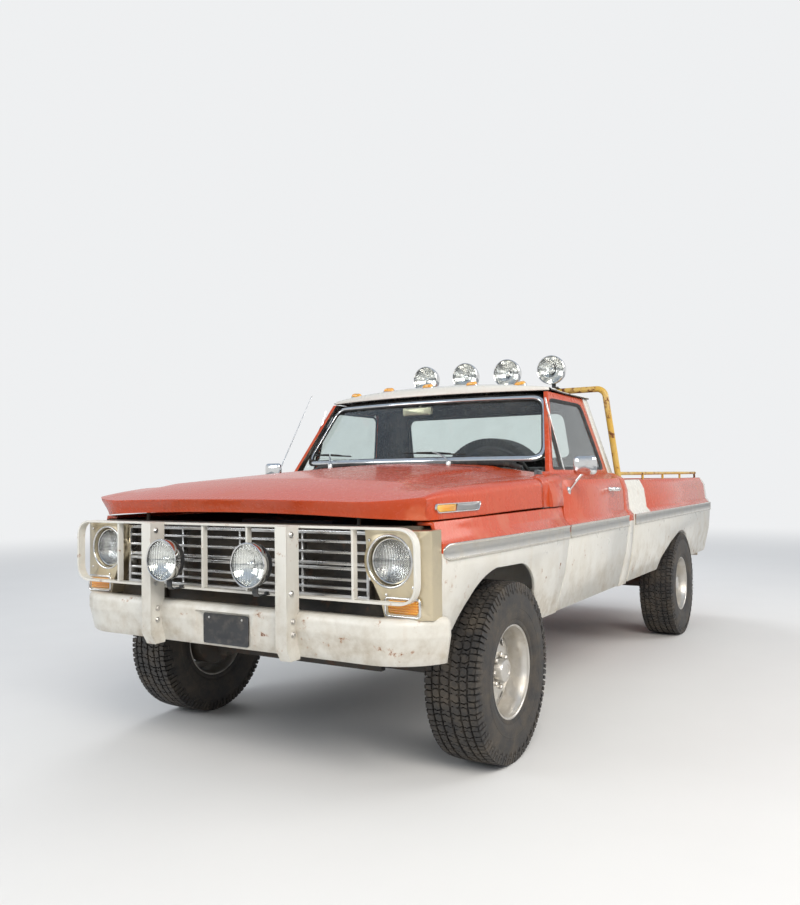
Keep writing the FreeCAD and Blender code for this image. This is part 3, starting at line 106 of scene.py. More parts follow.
class Finish:
    """A material, or another node tree, built up node by node."""

    def __init__(self, name, tree=None):
        if tree is None:
            self.material = bpy.data.materials.new(name)
            self.material.use_nodes = True
            tree = self.material.node_tree
            self.shader = tree.nodes["Principled BSDF"]
        self.tree = tree
        self.parts = {}

    def feed(self, socket, value):
        if isinstance(value, Value):
            self.tree.links.new(value.socket, socket)
        elif socket.type == "RGBA" and len(value) == 3:
            socket.default_value = (*value, 1.0)
        else:
            socket.default_value = value

    def node(self, kind, settings=None, inputs=None, output=0):
        """A node with its settings made first, then its sockets; returns one output."""
        made = self.tree.nodes.new(kind)
        for name, value in (settings or {}).items():
            setattr(made, name, value)
        for name, value in (inputs or {}).items():
            self.feed(made.inputs[name], value)
        return Value(self, made.outputs[output])

    def spot(self):
        """The place on the resting truck, in metres."""
        if "spot" not in self.parts:
            self.parts["spot"] = self.node("ShaderNodeTexCoord", output="Object")
        return self.parts["spot"]

    def axis(self, name):
        """One coordinate of the place, or of the surface's direction for nx, ny and nz."""
        if name not in self.parts:
            source = self.node("ShaderNodeTexCoord", output="Normal") if name[0] == "n" else self.spot()
            self.parts[name] = self.node("ShaderNodeSeparateXYZ", {}, {0: source}, "XYZ".index(name[-1].upper()))
        return self.parts[name]

    def stretched(self, scale, shift=0.0):
        place = self.node("ShaderNodeVectorMath", {"operation": "MULTIPLY"}, {0: self.spot(), 1: scale})
        return self.node("ShaderNodeVectorMath", {"operation": "ADD"}, {0: place, 1: (shift, shift * 0.7, -shift)})

    def cloud(self, scale, detail=3.0, rough=0.55, shift=0.0, stretch=(1, 1, 1)):
        """Soft noise from 0 to 1, scale blotches to a metre."""
        return self.node("ShaderNodeTexNoise", {}, {
            "Vector": self.stretched(stretch, shift), "Scale": scale, "Detail": detail, "Roughness": rough})

    def cells(self, scale, shift=0.0, stretch=(1, 1, 1)):
        return self.node("ShaderNodeTexVoronoi", {}, {"Vector": self.stretched(stretch, shift), "Scale": scale})

    def mix(self, factor, first, second):
        return self.node("ShaderNodeMix", {"data_type": "RGBA"}, {0: factor, 6: first, 7: second}, 2)

    def bump(self, height, distance):
        return self.node("ShaderNodeBump", {}, {"Height": height, "Distance": distance, "Strength": 1.0})

    def surface(self, **sockets):
        """Feeds the shader; underscores stand for spaces."""
        for name, value in sockets.items():
            self.feed(self.shader.inputs[name.replace("_", " ")], value)
        return self.material


SURROUND = (0.86, 0.87, 0.88)
world = bpy.data.worlds.new("studio")
scene.world = world
world.use_nodes = True
sky = Finish("studio", world.node_tree)
seen = sky.node("ShaderNodeLightPath", output="Is Camera Ray").most(
    sky.node("ShaderNodeLightPath", output="Is Glossy Ray")).most(
    sky.node("ShaderNodeLightPath", output="Is Transmission Ray"))
height = sky.node("ShaderNodeSeparateXYZ", {}, {0: sky.node("ShaderNodeTexCoord", output="Generated")}, 2)
mirrored_sky = sky.mix(height.between(0.02, 0.75), SURROUND, (0.42, 0.50, 0.62))
in_camera = sky.node("ShaderNodeLightPath", output="Is Camera Ray")
background = world.node_tree.nodes["Background"]
sky.feed(background.inputs["Color"], sky.mix(seen, (0.80, 0.86, 0.95), sky.mix(in_camera, mirrored_sky, SURROUND)))
sky.feed(background.inputs["Strength"], seen * 0.45 + 0.55)

for name, place, size, power, colour in (
        # name, place, width and height, watts, colour
        ("key", (5.2, -6.5, 5.8), (5.0, 3.5), 560, (1.0, 0.96, 0.90)),
        ("front_fill", (-4.5, -7.5, 4.0), (4.0, 3.0), 190, (0.92, 0.96, 1.0)),
        ("side_fill", (6.5, 2.5, 4.5), (5.0, 3.0), 200, (1.0, 0.98, 0.95)),
        ("back_rim", (-4.5, 6.0, 5.5), (4.0, 3.0), 260, (0.95, 0.97, 1.0))):
    lamp = bpy.data.objects.new(name, bpy.data.lights.new(name, "AREA"))
    scene.collection.objects.link(lamp)
    lamp.data.shape = "RECTANGLE"
    lamp.data.size, lamp.data.size_y = size
    lamp.data.energy = power
    lamp.data.color = colour
    lamp.visible_glossy = name != "back_rim"
    aim = Vector((0, 0, 0.7)) - Vector(place)
    lamp.matrix_world = Matrix.Translation(place) @ aim.to_track_quat("-Z", "Y").to_matrix().to_4x4()

floor_mesh = bpy.data.meshes.new("studio_floor")
floor_mesh.from_pydata([(-120, -120, 0), (120, -120, 0), (120, 120, 0), (-120, 120, 0)], [], [(0, 1, 2, 3)])
floor = bpy.data.objects.new("studio_floor", floor_mesh)
scene.collection.objects.link(floor)
ground = Finish("studio_floor")
ground.surface(Base_Color=ground.mix(ground.cloud(1.5), (0.74, 0.73, 0.71), (0.78, 0.77, 0.75)), Roughness=0.85)
distance = ground.node("ShaderNodeVectorMath", {"operation": "LENGTH"}, {0: ground.spot()}, "Value")
faded = ground.node("ShaderNodeEmission", {}, {"Color": SURROUND, "Strength": 1.0})
blend = ground.node("ShaderNodeMixShader", {}, {
    0: distance.between(4.5, 16.0) * ground.node("ShaderNodeLightPath", output="Is Camera Ray"),
    1: Value(ground, ground.shader.outputs[0]), 2: faded})
ground.feed(ground.tree.nodes["Material Output"].inputs["Surface"], blend)
floor_mesh.materials.append(ground.material)

# Painted sheet metal. The body is pressed steel in two colours, orange over white, parted
# along the side moulding. The paint is old: chalky on top, stained and rusting at low edges.

ORANGE = (0.50, 0.054, 0.008)
CHALKY_ORANGE = (0.50, 0.110, 0.042)
WHITE = (0.68, 0.665, 0.61)
CREAM_STAIN = (0.52, 0.41, 0.26)
RUST = (0.15, 0.050, 0.018)
RUST_STAIN = (0.36, 0.16, 0.06)
DUST = (0.33, 0.26, 0.17)
CAB_BLACK = (0.018, 0.017, 0.016)
PAINT_LINE = 0.958


def aged(finish, colour, rust=0.5, dirt=0.5, gloss=0.24, stain=CREAM_STAIN):
    """Adds age to a paint colour: stains, chips, rust spots and dust from the road."""
    stains = finish.cloud(5.0, 5.0, 0.62, 3.1, (1, 1, 0.45)).between(0.52, 0.78)
    streaks = finish.cloud(26.0, 3.0, 0.5, 8.0, (1, 1, 0.10)).between(0.55, 0.80)
    low = finish.axis("z").between(1.05, 0.35)
    dusty = (finish.cloud(9.0, 6.0, 0.66, 5.0).between(0.35, 0.80) * low * 1.3 + low * 0.12) * dirt
    spot = finish.cloud(16.0, 7.0, 0.70, 11.0)
    edge = 0.745 - 0.10 * rust
    ring = spot.between(edge - 0.055, edge + 0.01)
    hole = spot.between(edge, edge + 0.03)
    colour = finish.mix((stains * 0.30 + streaks * 0.22) * dirt, colour, stain)
    colour = finish.mix(dusty.least(0.75), colour, DUST)
    colour = finish.mix(ring * 0.55, colour, RUST_STAIN)
    colour = finish.mix(hole, colour, RUST)
    relief = finish.cloud(60.0, 2.0, 0.5) * 0.03 + hole * finish.cloud(120.0, 3.0) * 1.2 - hole * 0.4
    worn = (stains * 0.12 + dusty * 0.5 + hole * 0.6 + finish.cloud(40.0) * 0.06 + gloss).least(0.95)
    return finish.surface(Base_Color=colour, Roughness=worn, Normal=finish.bump(relief, 0.0012),
                          Specular_IOR_Level=0.35,
                          Coat_Weight=(0.22 - dusty * 0.2 - hole * 0.2).most(0.0), Coat_Roughness=0.08)


def orange_of(finish):
    """Orange that has turned chalky in patches, most where the sun falls."""
    chalk = (finish.cloud(1.3, 4.0, 0.6, 1.7).between(0.42, 0.72) * 0.34
             + finish.cloud(7.0, 5.0).between(0.5, 0.8) * 0.14)
    sunned = finish.axis("nz").between(-0.2, 0.9) * 0.12
    return finish.mix(chalk + sunned * chalk, ORANGE, CHALKY_ORANGE)


def white_of(finish):
    cool = finish.cloud(2.2, 4.0, 0.6, 6.0)
    return finish.mix(cool.between(0.35, 0.75) * 0.35, WHITE, (0.60, 0.56, 0.48))


def panel_paint(name, white, rust=0.5, dirt=0.5, inside=None):
    """Two-colour paint; white is a function of the finish that gives the white's mask."""
    finish = Finish(name)
    colour = finish.mix(white(finish), orange_of(finish), white_of(finish))
    if inside is not None:
        colour = finish.mix(inside(finish), colour, CAB_BLACK)
    return aged(finish, colour, rust, dirt)


def below_line(finish):
    return finish.axis("z").between(PAINT_LINE + 0.001, PAINT_LINE - 0.001)


def inner_skin(finish):
    """The side of a left or right panel that faces the cab."""
    side = finish.axis("x") / abs(finish.axis("x"))
    return (finish.axis("nx") * side).between(-0.25, -0.45)


def cab_white(finish):
    """White on the cab: below the line, on the roof and down the rear pillars."""
    high = finish.axis("z").between(1.728, 1.732)
    pillar = finish.axis("y").between(-0.135, -0.125) * finish.axis("z").between(1.255, 1.265)
    return below_line(finish).most(high).most(pillar)


def cab_inside_and_header_shade(finish):
    """Inside the cab, away from its outer skins, and painted shade on the windscreen header under the roof's brow."""
    x, y, z = (finish.axis(name) for name in "xyz")
    narrow = abs(x).between(0.874, 0.866)
    lean = (z - 1.262).most(0.0) * 0.254
    narrow = narrow * (abs(x) + lean).between(0.862, 0.852)
    long = (y + 1.262).between(0.0, 0.006) * (y + (z - 1.262).most(0.0) * 0.254).between(0.066, 0.060)
    tall = z.between(0.6315, 0.6325) * (z + x * x * 0.06).between(1.797, 1.790)
    # Painted shade: the header strip above the windscreen, under the roof's brow, is painted black for the shadow
    # there.
    header_shade = z.between(1.700, 1.703) * abs(x).between(0.732, 0.728) * y.between(-0.70, -0.72)
    return (narrow * long * tall).most(header_shade)


def bed_white(finish):
    """White on the bed side: below the line, a primed panel at the front and the rear edge."""
    y = finish.axis("y")
    wavy = finish.cloud(7.0, 2.0) * 0.05
    front = (y + wavy).between(0.545, 0.539)
    rear = y.between(2.548, 2.552)
    outside = abs(finish.axis("x")).between(0.853, 0.858)
    return below_line(finish).most(front * outside).most(rear)


def none_white(finish):
    return finish.axis("z").between(9.0, 10.0)


def all_white(finish):
    return finish.axis("z").between(-2.0, -1.0)


def dress(name, material, soften=0.004, angle=38):
    """Gives a solid of the frame, or a piece, its finish, and eases its edges as pressed or cast metal has them."""
    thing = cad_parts.get(name) or bpy.data.objects[name]
    thing.data.materials.clear()
    thing.data.materials.append(material)
    if soften:
        weld = thing.modifiers.new("weld", "WELD")
        weld.merge_threshold = 0.00002
        ease = thing.modifiers.new("ease", "BEVEL")
        ease.width = soften
        ease.segments = 2
        ease.limit_method = "ANGLE"
        ease.angle_limit = math.radians(angle)
        ease.harden_normals = True
    thing.data.polygons.foreach_set("use_smooth", [True] * len(thing.data.polygons))
    return thing


hood_paint = panel_paint("hood_paint", none_white, rust=0.25, dirt=0.30)
side_paint = panel_paint("side_paint", below_line, rust=0.75, dirt=0.75)
door_paint = panel_paint("door_paint", below_line, rust=0.6, dirt=0.65, inside=inner_skin)
cab_paint = panel_paint("cab_paint", cab_white, rust=0.6, dirt=0.6, inside=cab_inside_and_header_shade)
bed_paint = panel_paint("bed_paint", bed_white, rust=0.8, dirt=0.8)
for hand in ("left", "right"):
    dress("fender_" + hand, side_paint)
    dress("door_" + hand, door_paint, 0.003)
# The roof's down-facing faces are black: inside the cab they are the roof's inner side, and under the brow the black is
# painted shade.
roof_paint = panel_paint("roof_paint", all_white, rust=0.3, dirt=0.3,
                         inside=lambda finish: finish.axis("nz").between(-0.3, -0.5))
dress("bed_sides", bed_paint, 0.006)
dress("tailgate", side_paint, 0.006)

# Bed floor. A pressed steel floor and headboard, painted once and since scraped bright
# and rusty by loads.

bed_steel = Finish("bed_floor_paint")
scrapes = bed_steel.cloud(30.0, 5.0, 0.6, 2.0, (1, 0.06, 1)).between(0.50, 0.66)
aged(bed_steel, bed_steel.mix(scrapes * 0.7, bed_steel.mix(0.45, ORANGE, CHALKY_ORANGE), (0.21, 0.17, 0.14)),
     rust=1.1, dirt=0.9, gloss=0.45)
dress("bed_floor", bed_steel.material, 0.005)

# Chassis. Welded channel rails, forged beams and a cast axle, once sprayed black and now
# under road dust and scale.


def chassis_finish(name, colour, rust, gloss):
    finish = Finish(name)
    scale = finish.cloud(11.0, 6.0, 0.68, 4.0)
    grime = finish.cloud(3.0, 5.0, 0.6, 9.0).between(0.35, 0.75)
    up = finish.axis("nz").between(0.1, 0.9)
    tint = finish.mix(scale.between(0.62 - 0.2 * rust, 0.72) * 0.8, colour, (0.12, 0.052, 0.025))
    tint = finish.mix((grime * 0.45 + up * 0.30).least(0.8), tint, (0.20, 0.155, 0.10))
    relief = finish.cloud(140.0, 4.0, 0.6) * 0.6 + scale * 0.4
    return finish.surface(Base_Color=tint, Roughness=(scale * 0.25 + grime * 0.2 + gloss).least(0.95),
                          Normal=finish.bump(relief, 0.0014), Metallic=0.0)


frame_black = chassis_finish("frame_black", (0.022, 0.021, 0.020), rust=0.45, gloss=0.45)
cast_iron = chassis_finish("cast_iron", (0.050, 0.046, 0.042), rust=0.9, gloss=0.5)
pipe_steel = chassis_finish("pipe_steel", (0.13, 0.11, 0.095), rust=1.1, gloss=0.42)
engine_paint = chassis_finish("engine_paint", (0.030, 0.060, 0.10), rust=0.5, gloss=0.45)
# The inner front is black like the frame. It was set black so that the gaps round the grille and under the hood read
# dark, so it is partly painted shade.
for name, material in (
        ("frame", frame_black), ("front_axle", cast_iron), ("rear_axle", cast_iron), ("driveline", cast_iron),
        ("knuckle_left", cast_iron), ("knuckle_right", cast_iron), ("exhaust", pipe_steel),
        ("engine_block", engine_paint), ("inner_front", frame_black)):
    dress(name, material, 0.003, 45)

# White steel trim. The bumpers and the grille guard are pressed steel, bolted to the frame
# and brushed over with enamel that has chipped down to rust along its edges.

trim_white = Finish("trim_white")
aged(trim_white, white_of(trim_white), rust=0.8, dirt=0.7, gloss=0.34, stain=(0.46, 0.30, 0.17))
step_paint = Finish("rear_bumper_paint")
aged(step_paint, white_of(step_paint), rust=1.2, dirt=1.0, gloss=0.4)
dress("rear_bumper", step_paint.material, 0.004)

# Bright metal. Chromed and polished pressings, hazed and pitted by weather; the grille is
# one of them, screwed to the inner front.


def bright_finish(name, colour, haze, pits=0.4, dusty=0.25):
    finish = Finish(name)
    film = finish.cloud(14.0, 5.0, 0.62, 7.0).between(0.40, 0.80)
    pit = finish.cloud(70.0, 6.0, 0.72, 2.0).between(0.70 - 0.05 * pits, 0.74)
    low = finish.axis("z").between(1.0, 0.3) * dusty
    tint = finish.mix((film * dusty + low * 0.6).least(0.6), colour, (0.40, 0.35, 0.27))
    tint = finish.mix(pit * pits, tint, RUST_STAIN)
    return finish.surface(Base_Color=tint, Metallic=(1.0 - film * dusty * 0.5 - pit * pits * 0.8 - low * 0.3).most(0.0),
                          Roughness=(film * 0.16 + pit * 0.4 + low * 0.3 + haze).least(0.9),
                          Normal=finish.bump(finish.cloud(55.0, 2.0) * 0.3 + pit * 0.4, 0.0006))


chrome = bright_finish("chrome", (0.72, 0.72, 0.71), haze=0.07)
grille_metal = bright_finish("grille_metal", (0.60, 0.60, 0.59), haze=0.26, pits=0.3, dusty=0.35)
bezel_metal = bright_finish("bezel_metal", (0.66, 0.57, 0.40), haze=0.30, pits=0.3, dusty=0.30)
rim_metal = bright_finish("rim_metal", (0.70, 0.69, 0.67), haze=0.16, pits=0.3, dusty=0.6)
dress("grille", grille_metal, 0.002)

# Yellow tube work. Cargo rack and bed rails of plain steel pipe, welded together, bolted to
# the bed's sides, brushed yellow and rusting.

rack_yellow = Finish("rack_yellow")
pale = rack_yellow.mix(rack_yellow.cloud(6.0, 5.0).between(0.35, 0.7) * 0.6, (0.60, 0.36, 0.045), (0.56, 0.44, 0.22))
aged(rack_yellow, pale, rust=1.7, dirt=0.5, gloss=0.5, stain=(0.30, 0.13, 0.04))
dress("cargo_rack", rack_yellow.material, 0)

# Glass. Flat and bowed panes of safety glass, held in rubber channels, with a light film
# of dust.


def glass_finish(name, tint, dusty):
    finish = Finish(name)
    film = finish.cloud(5.0, 6.0, 0.7).between(0.35, 0.85)
    speck = finish.cloud(160.0, 4.0, 0.7).between(0.62, 0.80)
    clear = finish.surface(Base_Color=tint, Roughness=film * 0.03 + 0.01, Transmission_Weight=1.0, IOR=1.45)
    dust = finish.node("ShaderNodeBsdfDiffuse", {}, {"Color": (0.55, 0.52, 0.46)})
    mixed = finish.node("ShaderNodeMixShader", {}, {
        0: (film * 0.05 + speck * 0.10) * dusty + 0.01 * dusty, 1: Value(finish, finish.shader.outputs[0]), 2: dust})
    finish.feed(finish.tree.nodes["Material Output"].inputs["Surface"], mixed)
    return clear


window_glass = glass_finish("window_glass", (0.86, 0.92, 0.90), dusty=1.0)
for name in ("cab_glass", "door_glass_left", "door_glass_right"):
    dress(name, window_glass, 0)

# Tyres. Chunky all-terrain radials: a vulcanised casing with rows of interlocking tread
# blocks, and longer lugs that reach down over the shoulder. Dust sits low in the grooves.


def full_turn(count):
    """Angles spread evenly round one turn."""
    return [2 * math.pi * step / count for step in range(count)]


class Form:
    """Points and faces of one piece, gathered before they become a mesh."""

    def __init__(self):
        self.points = []
        self.faces = []
        self.kinds = []

    def add(self, points, faces, kind=0):
        start = len(self.points)
        self.points += [tuple(point) for point in points]
        self.faces += [tuple(start + index for index in face) for face in faces]
        self.kinds += [kind] * len(faces)

    def grid(self, rows, closed=False, kind=0):
        """Skins rows of points; closed joins each row's end to its start."""
        width = len(rows[0])
        faces = []
        for row in range(len(rows) - 1):
            for column in range(width if closed else width - 1):
                after = (column + 1) % width
                faces.append((row * width + column, row * width + after,
                              (row + 1) * width + after, (row + 1) * width + column))
        self.add([point for row in rows for point in row], faces, kind)

    def capped(self, rows, kind=0):
        """Skins closed rings and puts a flat face on the last one."""
        self.grid(rows, True, kind)
        self.add(rows[-1], [tuple(range(len(rows[-1])))], kind)

    def lathe(self, profile, centre, axis="x", steps=64, kind=0):
        """Turns (distance along the axis, radius) rows about an axis through a centre."""
        rows = []
        for along, radius in profile:
            ring = []
            for turn in full_turn(steps):
                a, b = radius * math.cos(turn), radius * math.sin(turn)
                ring.append({"x": (along, a, b), "y": (b, along, a), "z": (a, b, along)}[axis])
            rows.append([tuple(c + d for c, d in zip(centre, point)) for point in ring])
        self.grid(rows, True, kind)

    def prism(self, outline, low, high, axis="x", kind=0):
        """An outline of two coordinates drawn out along an axis; yz for x, xz for y, xy for z."""
        place = {"x": lambda p, q, d: (d, p, q), "y": lambda p, q, d: (p, d, q), "z": lambda p, q, d: (p, q, d)}[axis]
        count = len(outline)
        points = [place(p, q, low) for p, q in outline] + [place(p, q, high) for p, q in outline]
        faces = [tuple(range(count)), tuple(range(2 * count - 1, count - 1, -1))]
        faces += [(i, count + i, count + (i + 1) % count, (i + 1) % count) for i in range(count)]
        self.add(points, faces, kind)

    def block(self, low, high, kind=0):
        x0, y0, z0 = low
        x1, y1, z1 = high
        self.prism([(y0, z0), (y1, z0), (y1, z1), (y0, z1)], x0, x1, "x", kind)

    def rod(self, path, radius, sides=12, kind=0):
        """A round bar along a path of points, with capped ends."""
        path = [Vector(point) for point in path]
        rows = []
        side = None
        for index, point in enumerate(path):
            ahead = (path[min(index + 1, len(path) - 1)] - path[max(index - 1, 0)]).normalized()
            if side is None:
                side = ahead.orthogonal().normalized()
            side = (side - ahead * side.dot(ahead)).normalized()
            other = ahead.cross(side)
            thick = radius[index] if isinstance(radius, (list, tuple)) else radius
            rows.append([point + (side * math.cos(turn) + other * math.sin(turn)) * thick
                         for turn in full_turn(sides)])
        self.grid(rows, True, kind)
        self.add(rows[0], [tuple(range(sides))[::-1]], kind)
        self.add(rows[-1], [tuple(range(sides))], kind)

    def moved(self, matrix):
        """A copy of this form, moved."""
        copy = Form()
        copy.points = [tuple(matrix @ Vector(point)) for point in self.points]
        copy.faces = list(self.faces)
        copy.kinds = list(self.kinds)
        return copy

    def join(self, other):
        start = len(self.points)
        self.points += other.points
        self.faces += [tuple(start + index for index in face) for face in other.faces]
        self.kinds += other.kinds

    def mesh(self, name):
        """The mesh, with touching points joined and its faces all looking outwards."""
        mesh = bpy.data.meshes.new(name)
        mesh.from_pydata(self.points, [], self.faces)
        mesh.polygons.foreach_set("material_index", self.kinds)
        work = bmesh.new()
        work.from_mesh(mesh)
        bmesh.ops.remove_doubles(work, verts=work.verts, dist=0.00001)
        bmesh.ops.recalc_face_normals(work, faces=work.faces)
        work.to_mesh(mesh)
        work.free()
        return mesh

    def piece(self, name, materials, body, slot, soften=0.0, smooth=40, replaces=()):
        """The finished piece, riding on a body."""
        mesh = self.mesh(name)
        for material in materials if isinstance(materials, (list, tuple)) else [materials]:
            mesh.materials.append(material)
        mesh.polygons.foreach_set("use_smooth", [True] * len(mesh.polygons))
        mesh.set_sharp_from_angle(angle=math.radians(smooth))
        thing = bpy.data.objects.new(name, mesh)
        scene.collection.objects.link(thing)
        if soften:
            ease = thing.modifiers.new("ease", "BEVEL")
            ease.width = soften
            ease.segments = 2
            ease.limit_method = "ANGLE"
            ease.angle_limit = math.radians(38)
            ease.harden_normals = True
        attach(thing, body)
        if replaces:
            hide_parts(*replaces)
        return thing


TYRE_RADIUS = 0.393
PITCHES = 46
# One side of the casing: distance from the middle plane, radius
CASING = (
    (0.1070, 0.2035), (0.1120, 0.2080), (0.1135, 0.2160), (0.1130, 0.2240), (0.1185, 0.2330), (0.1222, 0.2500),
    (0.1236, 0.2700), (0.1236, 0.2725), (0.1246, 0.2735), (0.1246, 0.2765), (0.1236, 0.2775), (0.1238, 0.3000),
    (0.1232, 0.3180), (0.1206, 0.3400), (0.1150, 0.3590), (0.1060, 0.3720), (0.0880, 0.3795), (0.0500, 0.3815),
    (0.0000, 0.3820),
)
# Tread blocks in one pitch: corners as (share of a pitch, distance across), height of the top
TREAD = (
    (((0.04, 0.004), (0.50, 0.003), (0.72, 0.030), (0.60, 0.043), (0.22, 0.040), (0.00, 0.022)), 0.0110),
    (((0.58, 0.006), (0.94, 0.004), (1.10, 0.026), (1.02, 0.040), (0.72, 0.042), (0.80, 0.028)), 0.0110),
    (((0.08, 0.047), (0.62, 0.049), (0.70, 0.064), (0.52, 0.078), (0.12, 0.076), (-0.02, 0.062)), 0.0105),
    (((0.70, 0.049), (1.00, 0.048), (0.92, 0.062), (1.04, 0.076), (0.66, 0.078), (0.78, 0.064)), 0.0105),
    (((-0.02, 0.083), (0.44, 0.084), (0.46, 0.106), (0.40, 0.1150), (0.02, 0.1150), (-0.06, 0.104)), 0.0095),
    (((0.52, 0.084), (0.92, 0.083), (0.90, 0.104), (0.88, 0.1110), (0.58, 0.1110), (0.54, 0.104)), 0.0095),
)


def crown(across):
    """Radius of the tread's outer surface at a distance from the middle plane."""
    return TYRE_RADIUS - 0.0002 - 0.55 * max(0.0, abs(across) - 0.04) ** 2 - 42.0 * max(0.0, abs(across) - 0.092) ** 3


def tyre_form():
    """One tyre about the x axis, centred on the origin."""
    form = Form()
    profile = [(-x, radius) for x, radius in CASING] + [(x, radius) for x, radius in reversed(CASING[:-1])]
    form.lathe(profile, (0, 0, 0), "x", 120)

    def spot(turn, across, radius):
        return (across, radius * math.cos(turn), radius * math.sin(turn))

    for pitch in range(PITCHES):
        for side in (1, -1):
            for corners, height in TREAD:
                shift = 0.0 if side > 0 else 0.5
                turns = [2 * math.pi * (pitch + shift + side * share) / PITCHES for share, across in corners]
                middle_turn = sum(turns) / len(turns)
                middle = sum(across for share, across in corners) / len(corners)
                top, foot = [], []
                for turn, (share, across) in zip(turns, corners):
                    foot.append(spot(turn, side * across, crown(across) - height - 0.002))
                    top.append(spot(middle_turn + (turn - middle_turn) * 0.90,
                                    side * (middle + (across - middle) * 0.92),
                                    crown(across)))
                count = len(corners)
                faces = [tuple(range(count))] + [(i, (i + 1) % count, count + (i + 1) % count, count + i)
                                                 for i in range(count)]
                form.add(top + foot, faces)
            # Lugs on the shoulder, long and short in turn
            for start, end, low, out in ((0.00, 0.40, 0.335, 0.0018), (0.54, 0.88, 0.352, 0.0012)):
                rows = []
                for radius, across in ((crown(0.1140) - 0.001, 0.1145), (0.3660, 0.1180), (low + 0.010, 0.1222),
                                       (low, 0.1225)):
                    lift = out if radius != low else -0.0015
                    across = min(across + lift, 0.1249)
                    rows.append([spot(2 * math.pi * (pitch + (0.0 if side > 0 else 0.5) + side * share) / PITCHES,
                                      side * width, radius - inner)
                                 for share, width, inner in (
                                     (start, across - 0.006, 0.0), (start + 0.03, across, 0.0),
                                     (end - 0.03, across, 0.0), (end, across - 0.006, 0.0))])
                form.grid(rows)
    return form


rubber = Finish("tyre_rubber")
wear = rubber.cloud(9.0, 5.0, 0.62, 3.0)
grit = rubber.cloud(85.0, 5.0, 0.7)
dusty_tyre = (wear.between(0.36, 0.72) * 0.5 + grit.between(0.45, 0.7) * 0.25)
rubber.surface(Base_Color=rubber.mix(dusty_tyre, (0.022, 0.021, 0.021), (0.115, 0.092, 0.066)),
               Roughness=dusty_tyre * 0.25 + 0.62, Normal=rubber.bump(grit * 0.6 + wear * 0.4, 0.0012))
tyre_shape = tyre_form()

# Wheels. Chromed steel wheels: a rolled rim with a pressed disc, round hand holes, a hub
# cap and eight nuts.

HOLES = 8
NUTS = 8
HALF_TRACK = 0.870


def wheel_form(outward):
    """One wheel about the x axis, its disc dished to one side; outward is 1 or -1."""
    form = Form()
    barrel = ((0.1075, 0.2035), (0.1080, 0.1990), (0.1040, 0.1945), (0.0930, 0.1930), (0.0860, 0.1880),
              (0.0600, 0.1850), (0.0200, 0.1800), (-0.0200, 0.1780), (-0.0700, 0.1840), (-0.0900, 0.1900),
              (-0.1040, 0.1945), (-0.1080, 0.1990), (-0.1075, 0.2035))
    form.lathe([(outward * x, radius) for x, radius in barrel], (0, 0, 0), "x", 96)

    def dish(radius):
        """How far out the disc lies at a radius."""
        if radius > 0.150:
            return 0.026 - (radius - 0.150) * 0.55
        return 0.026 + 0.020 * math.sin((0.150 - radius) / 0.072 * math.pi / 2)

    hole_at, hole_size, ring_low, ring_high, around = 0.128, 0.0195, 0.100, 0.156, 16
    for centre_turn in full_turn(HOLES):
        half = math.pi / HOLES
        loops = [[], [], [], []]
        for turn in full_turn(around):
            c, s = math.cos(turn), math.sin(turn)
            reach = 1 / max(abs(c), abs(s))
            outer_radius = (ring_low + ring_high) / 2 + c * reach * (ring_high - ring_low) / 2
            outer_turn = centre_turn + s * reach * half
            for loop, size, drop in ((1, hole_size + 0.004, 0.0), (2, hole_size, 0.0025),
                                     (3, hole_size - 0.001, 0.012)):
                y = hole_at + c * size
                z = s * size
                radius, angle = math.hypot(y, z), math.atan2(z, y)
                loops[loop].append((outward * (dish(radius) - drop), radius * math.cos(centre_turn + angle),
                                    radius * math.sin(centre_turn + angle)))
            loops[0].append((outward * dish(outer_radius), outer_radius * math.cos(outer_turn),
                             outer_radius * math.sin(outer_turn)))
        form.grid(loops, True)
    form.lathe([(outward * dish(radius), radius) for radius in (0.156, 0.166, 0.1800)], (0, 0, 0), "x", HOLES * around)
    form.lathe([(outward * dish(radius), radius) for radius in (0.100, 0.092, 0.084, 0.078, 0.060)], (0, 0, 0), "x", 64)
    cap = ((0.040, 0.0560), (0.046, 0.0545), (0.074, 0.0515), (0.0790, 0.0485), (0.0815, 0.0400), (0.0822, 0.0300),
           (0.0800, 0.0290), (0.0800, 0.0001))
    form.lathe([(outward * x, radius) for x, radius in cap], (0, 0, 0), "x", 48)
    for nut in range(NUTS):
        turn = 2 * math.pi * (nut + 0.5) / NUTS
        centre = (0, 0.0705 * math.cos(turn), 0.0705 * math.sin(turn))
        form.lathe([(outward * x, radius) for x, radius in (
            (0.040, 0.0115), (0.056, 0.0115), (0.061, 0.0085), (0.063, 0.0001))], centre, "x", 6)
    return form


for end, station in (("front", 0.785), ("rear", 4.112)):
    for side, hand in ((1, "left"), (-1, "right")):
        place = Matrix.Translation((side * HALF_TRACK, station - MIDDLE, TYRE_RADIUS)) @ Matrix.Rotation(
            0.35 * side + station, 4, "X")
        body = "wheel_%s_%s" % (end, hand)
        tyre_shape.moved(place).piece("tyre_%s_%s_tread" % (end, hand), rubber.material, body, "tyre_rubber",
                                      smooth=32, replaces=["tyre_%s_%s" % (end, hand)])
        wheel_form(side).moved(place).piece("wheel_%s_%s_chrome" % (end, hand), rim_metal, body, "polished_rim",
                                            smooth=35, replaces=["rim_%s_%s" % (end, hand)])
spare_place = Matrix.Translation((-0.055, 2.895 - MIDDLE, 0.735 + TYRE_RADIUS)) @ Matrix.Rotation(math.pi / 2, 4, "Z")
tyre_shape.moved(spare_place).piece("spare_tyre_tread", rubber.material, "chassis", "tyre_rubber", smooth=32,
                                    replaces=["spare_wheel"])
wheel_form(1).moved(spare_place).piece("spare_rim", rim_metal, "chassis", "polished_rim", smooth=35)

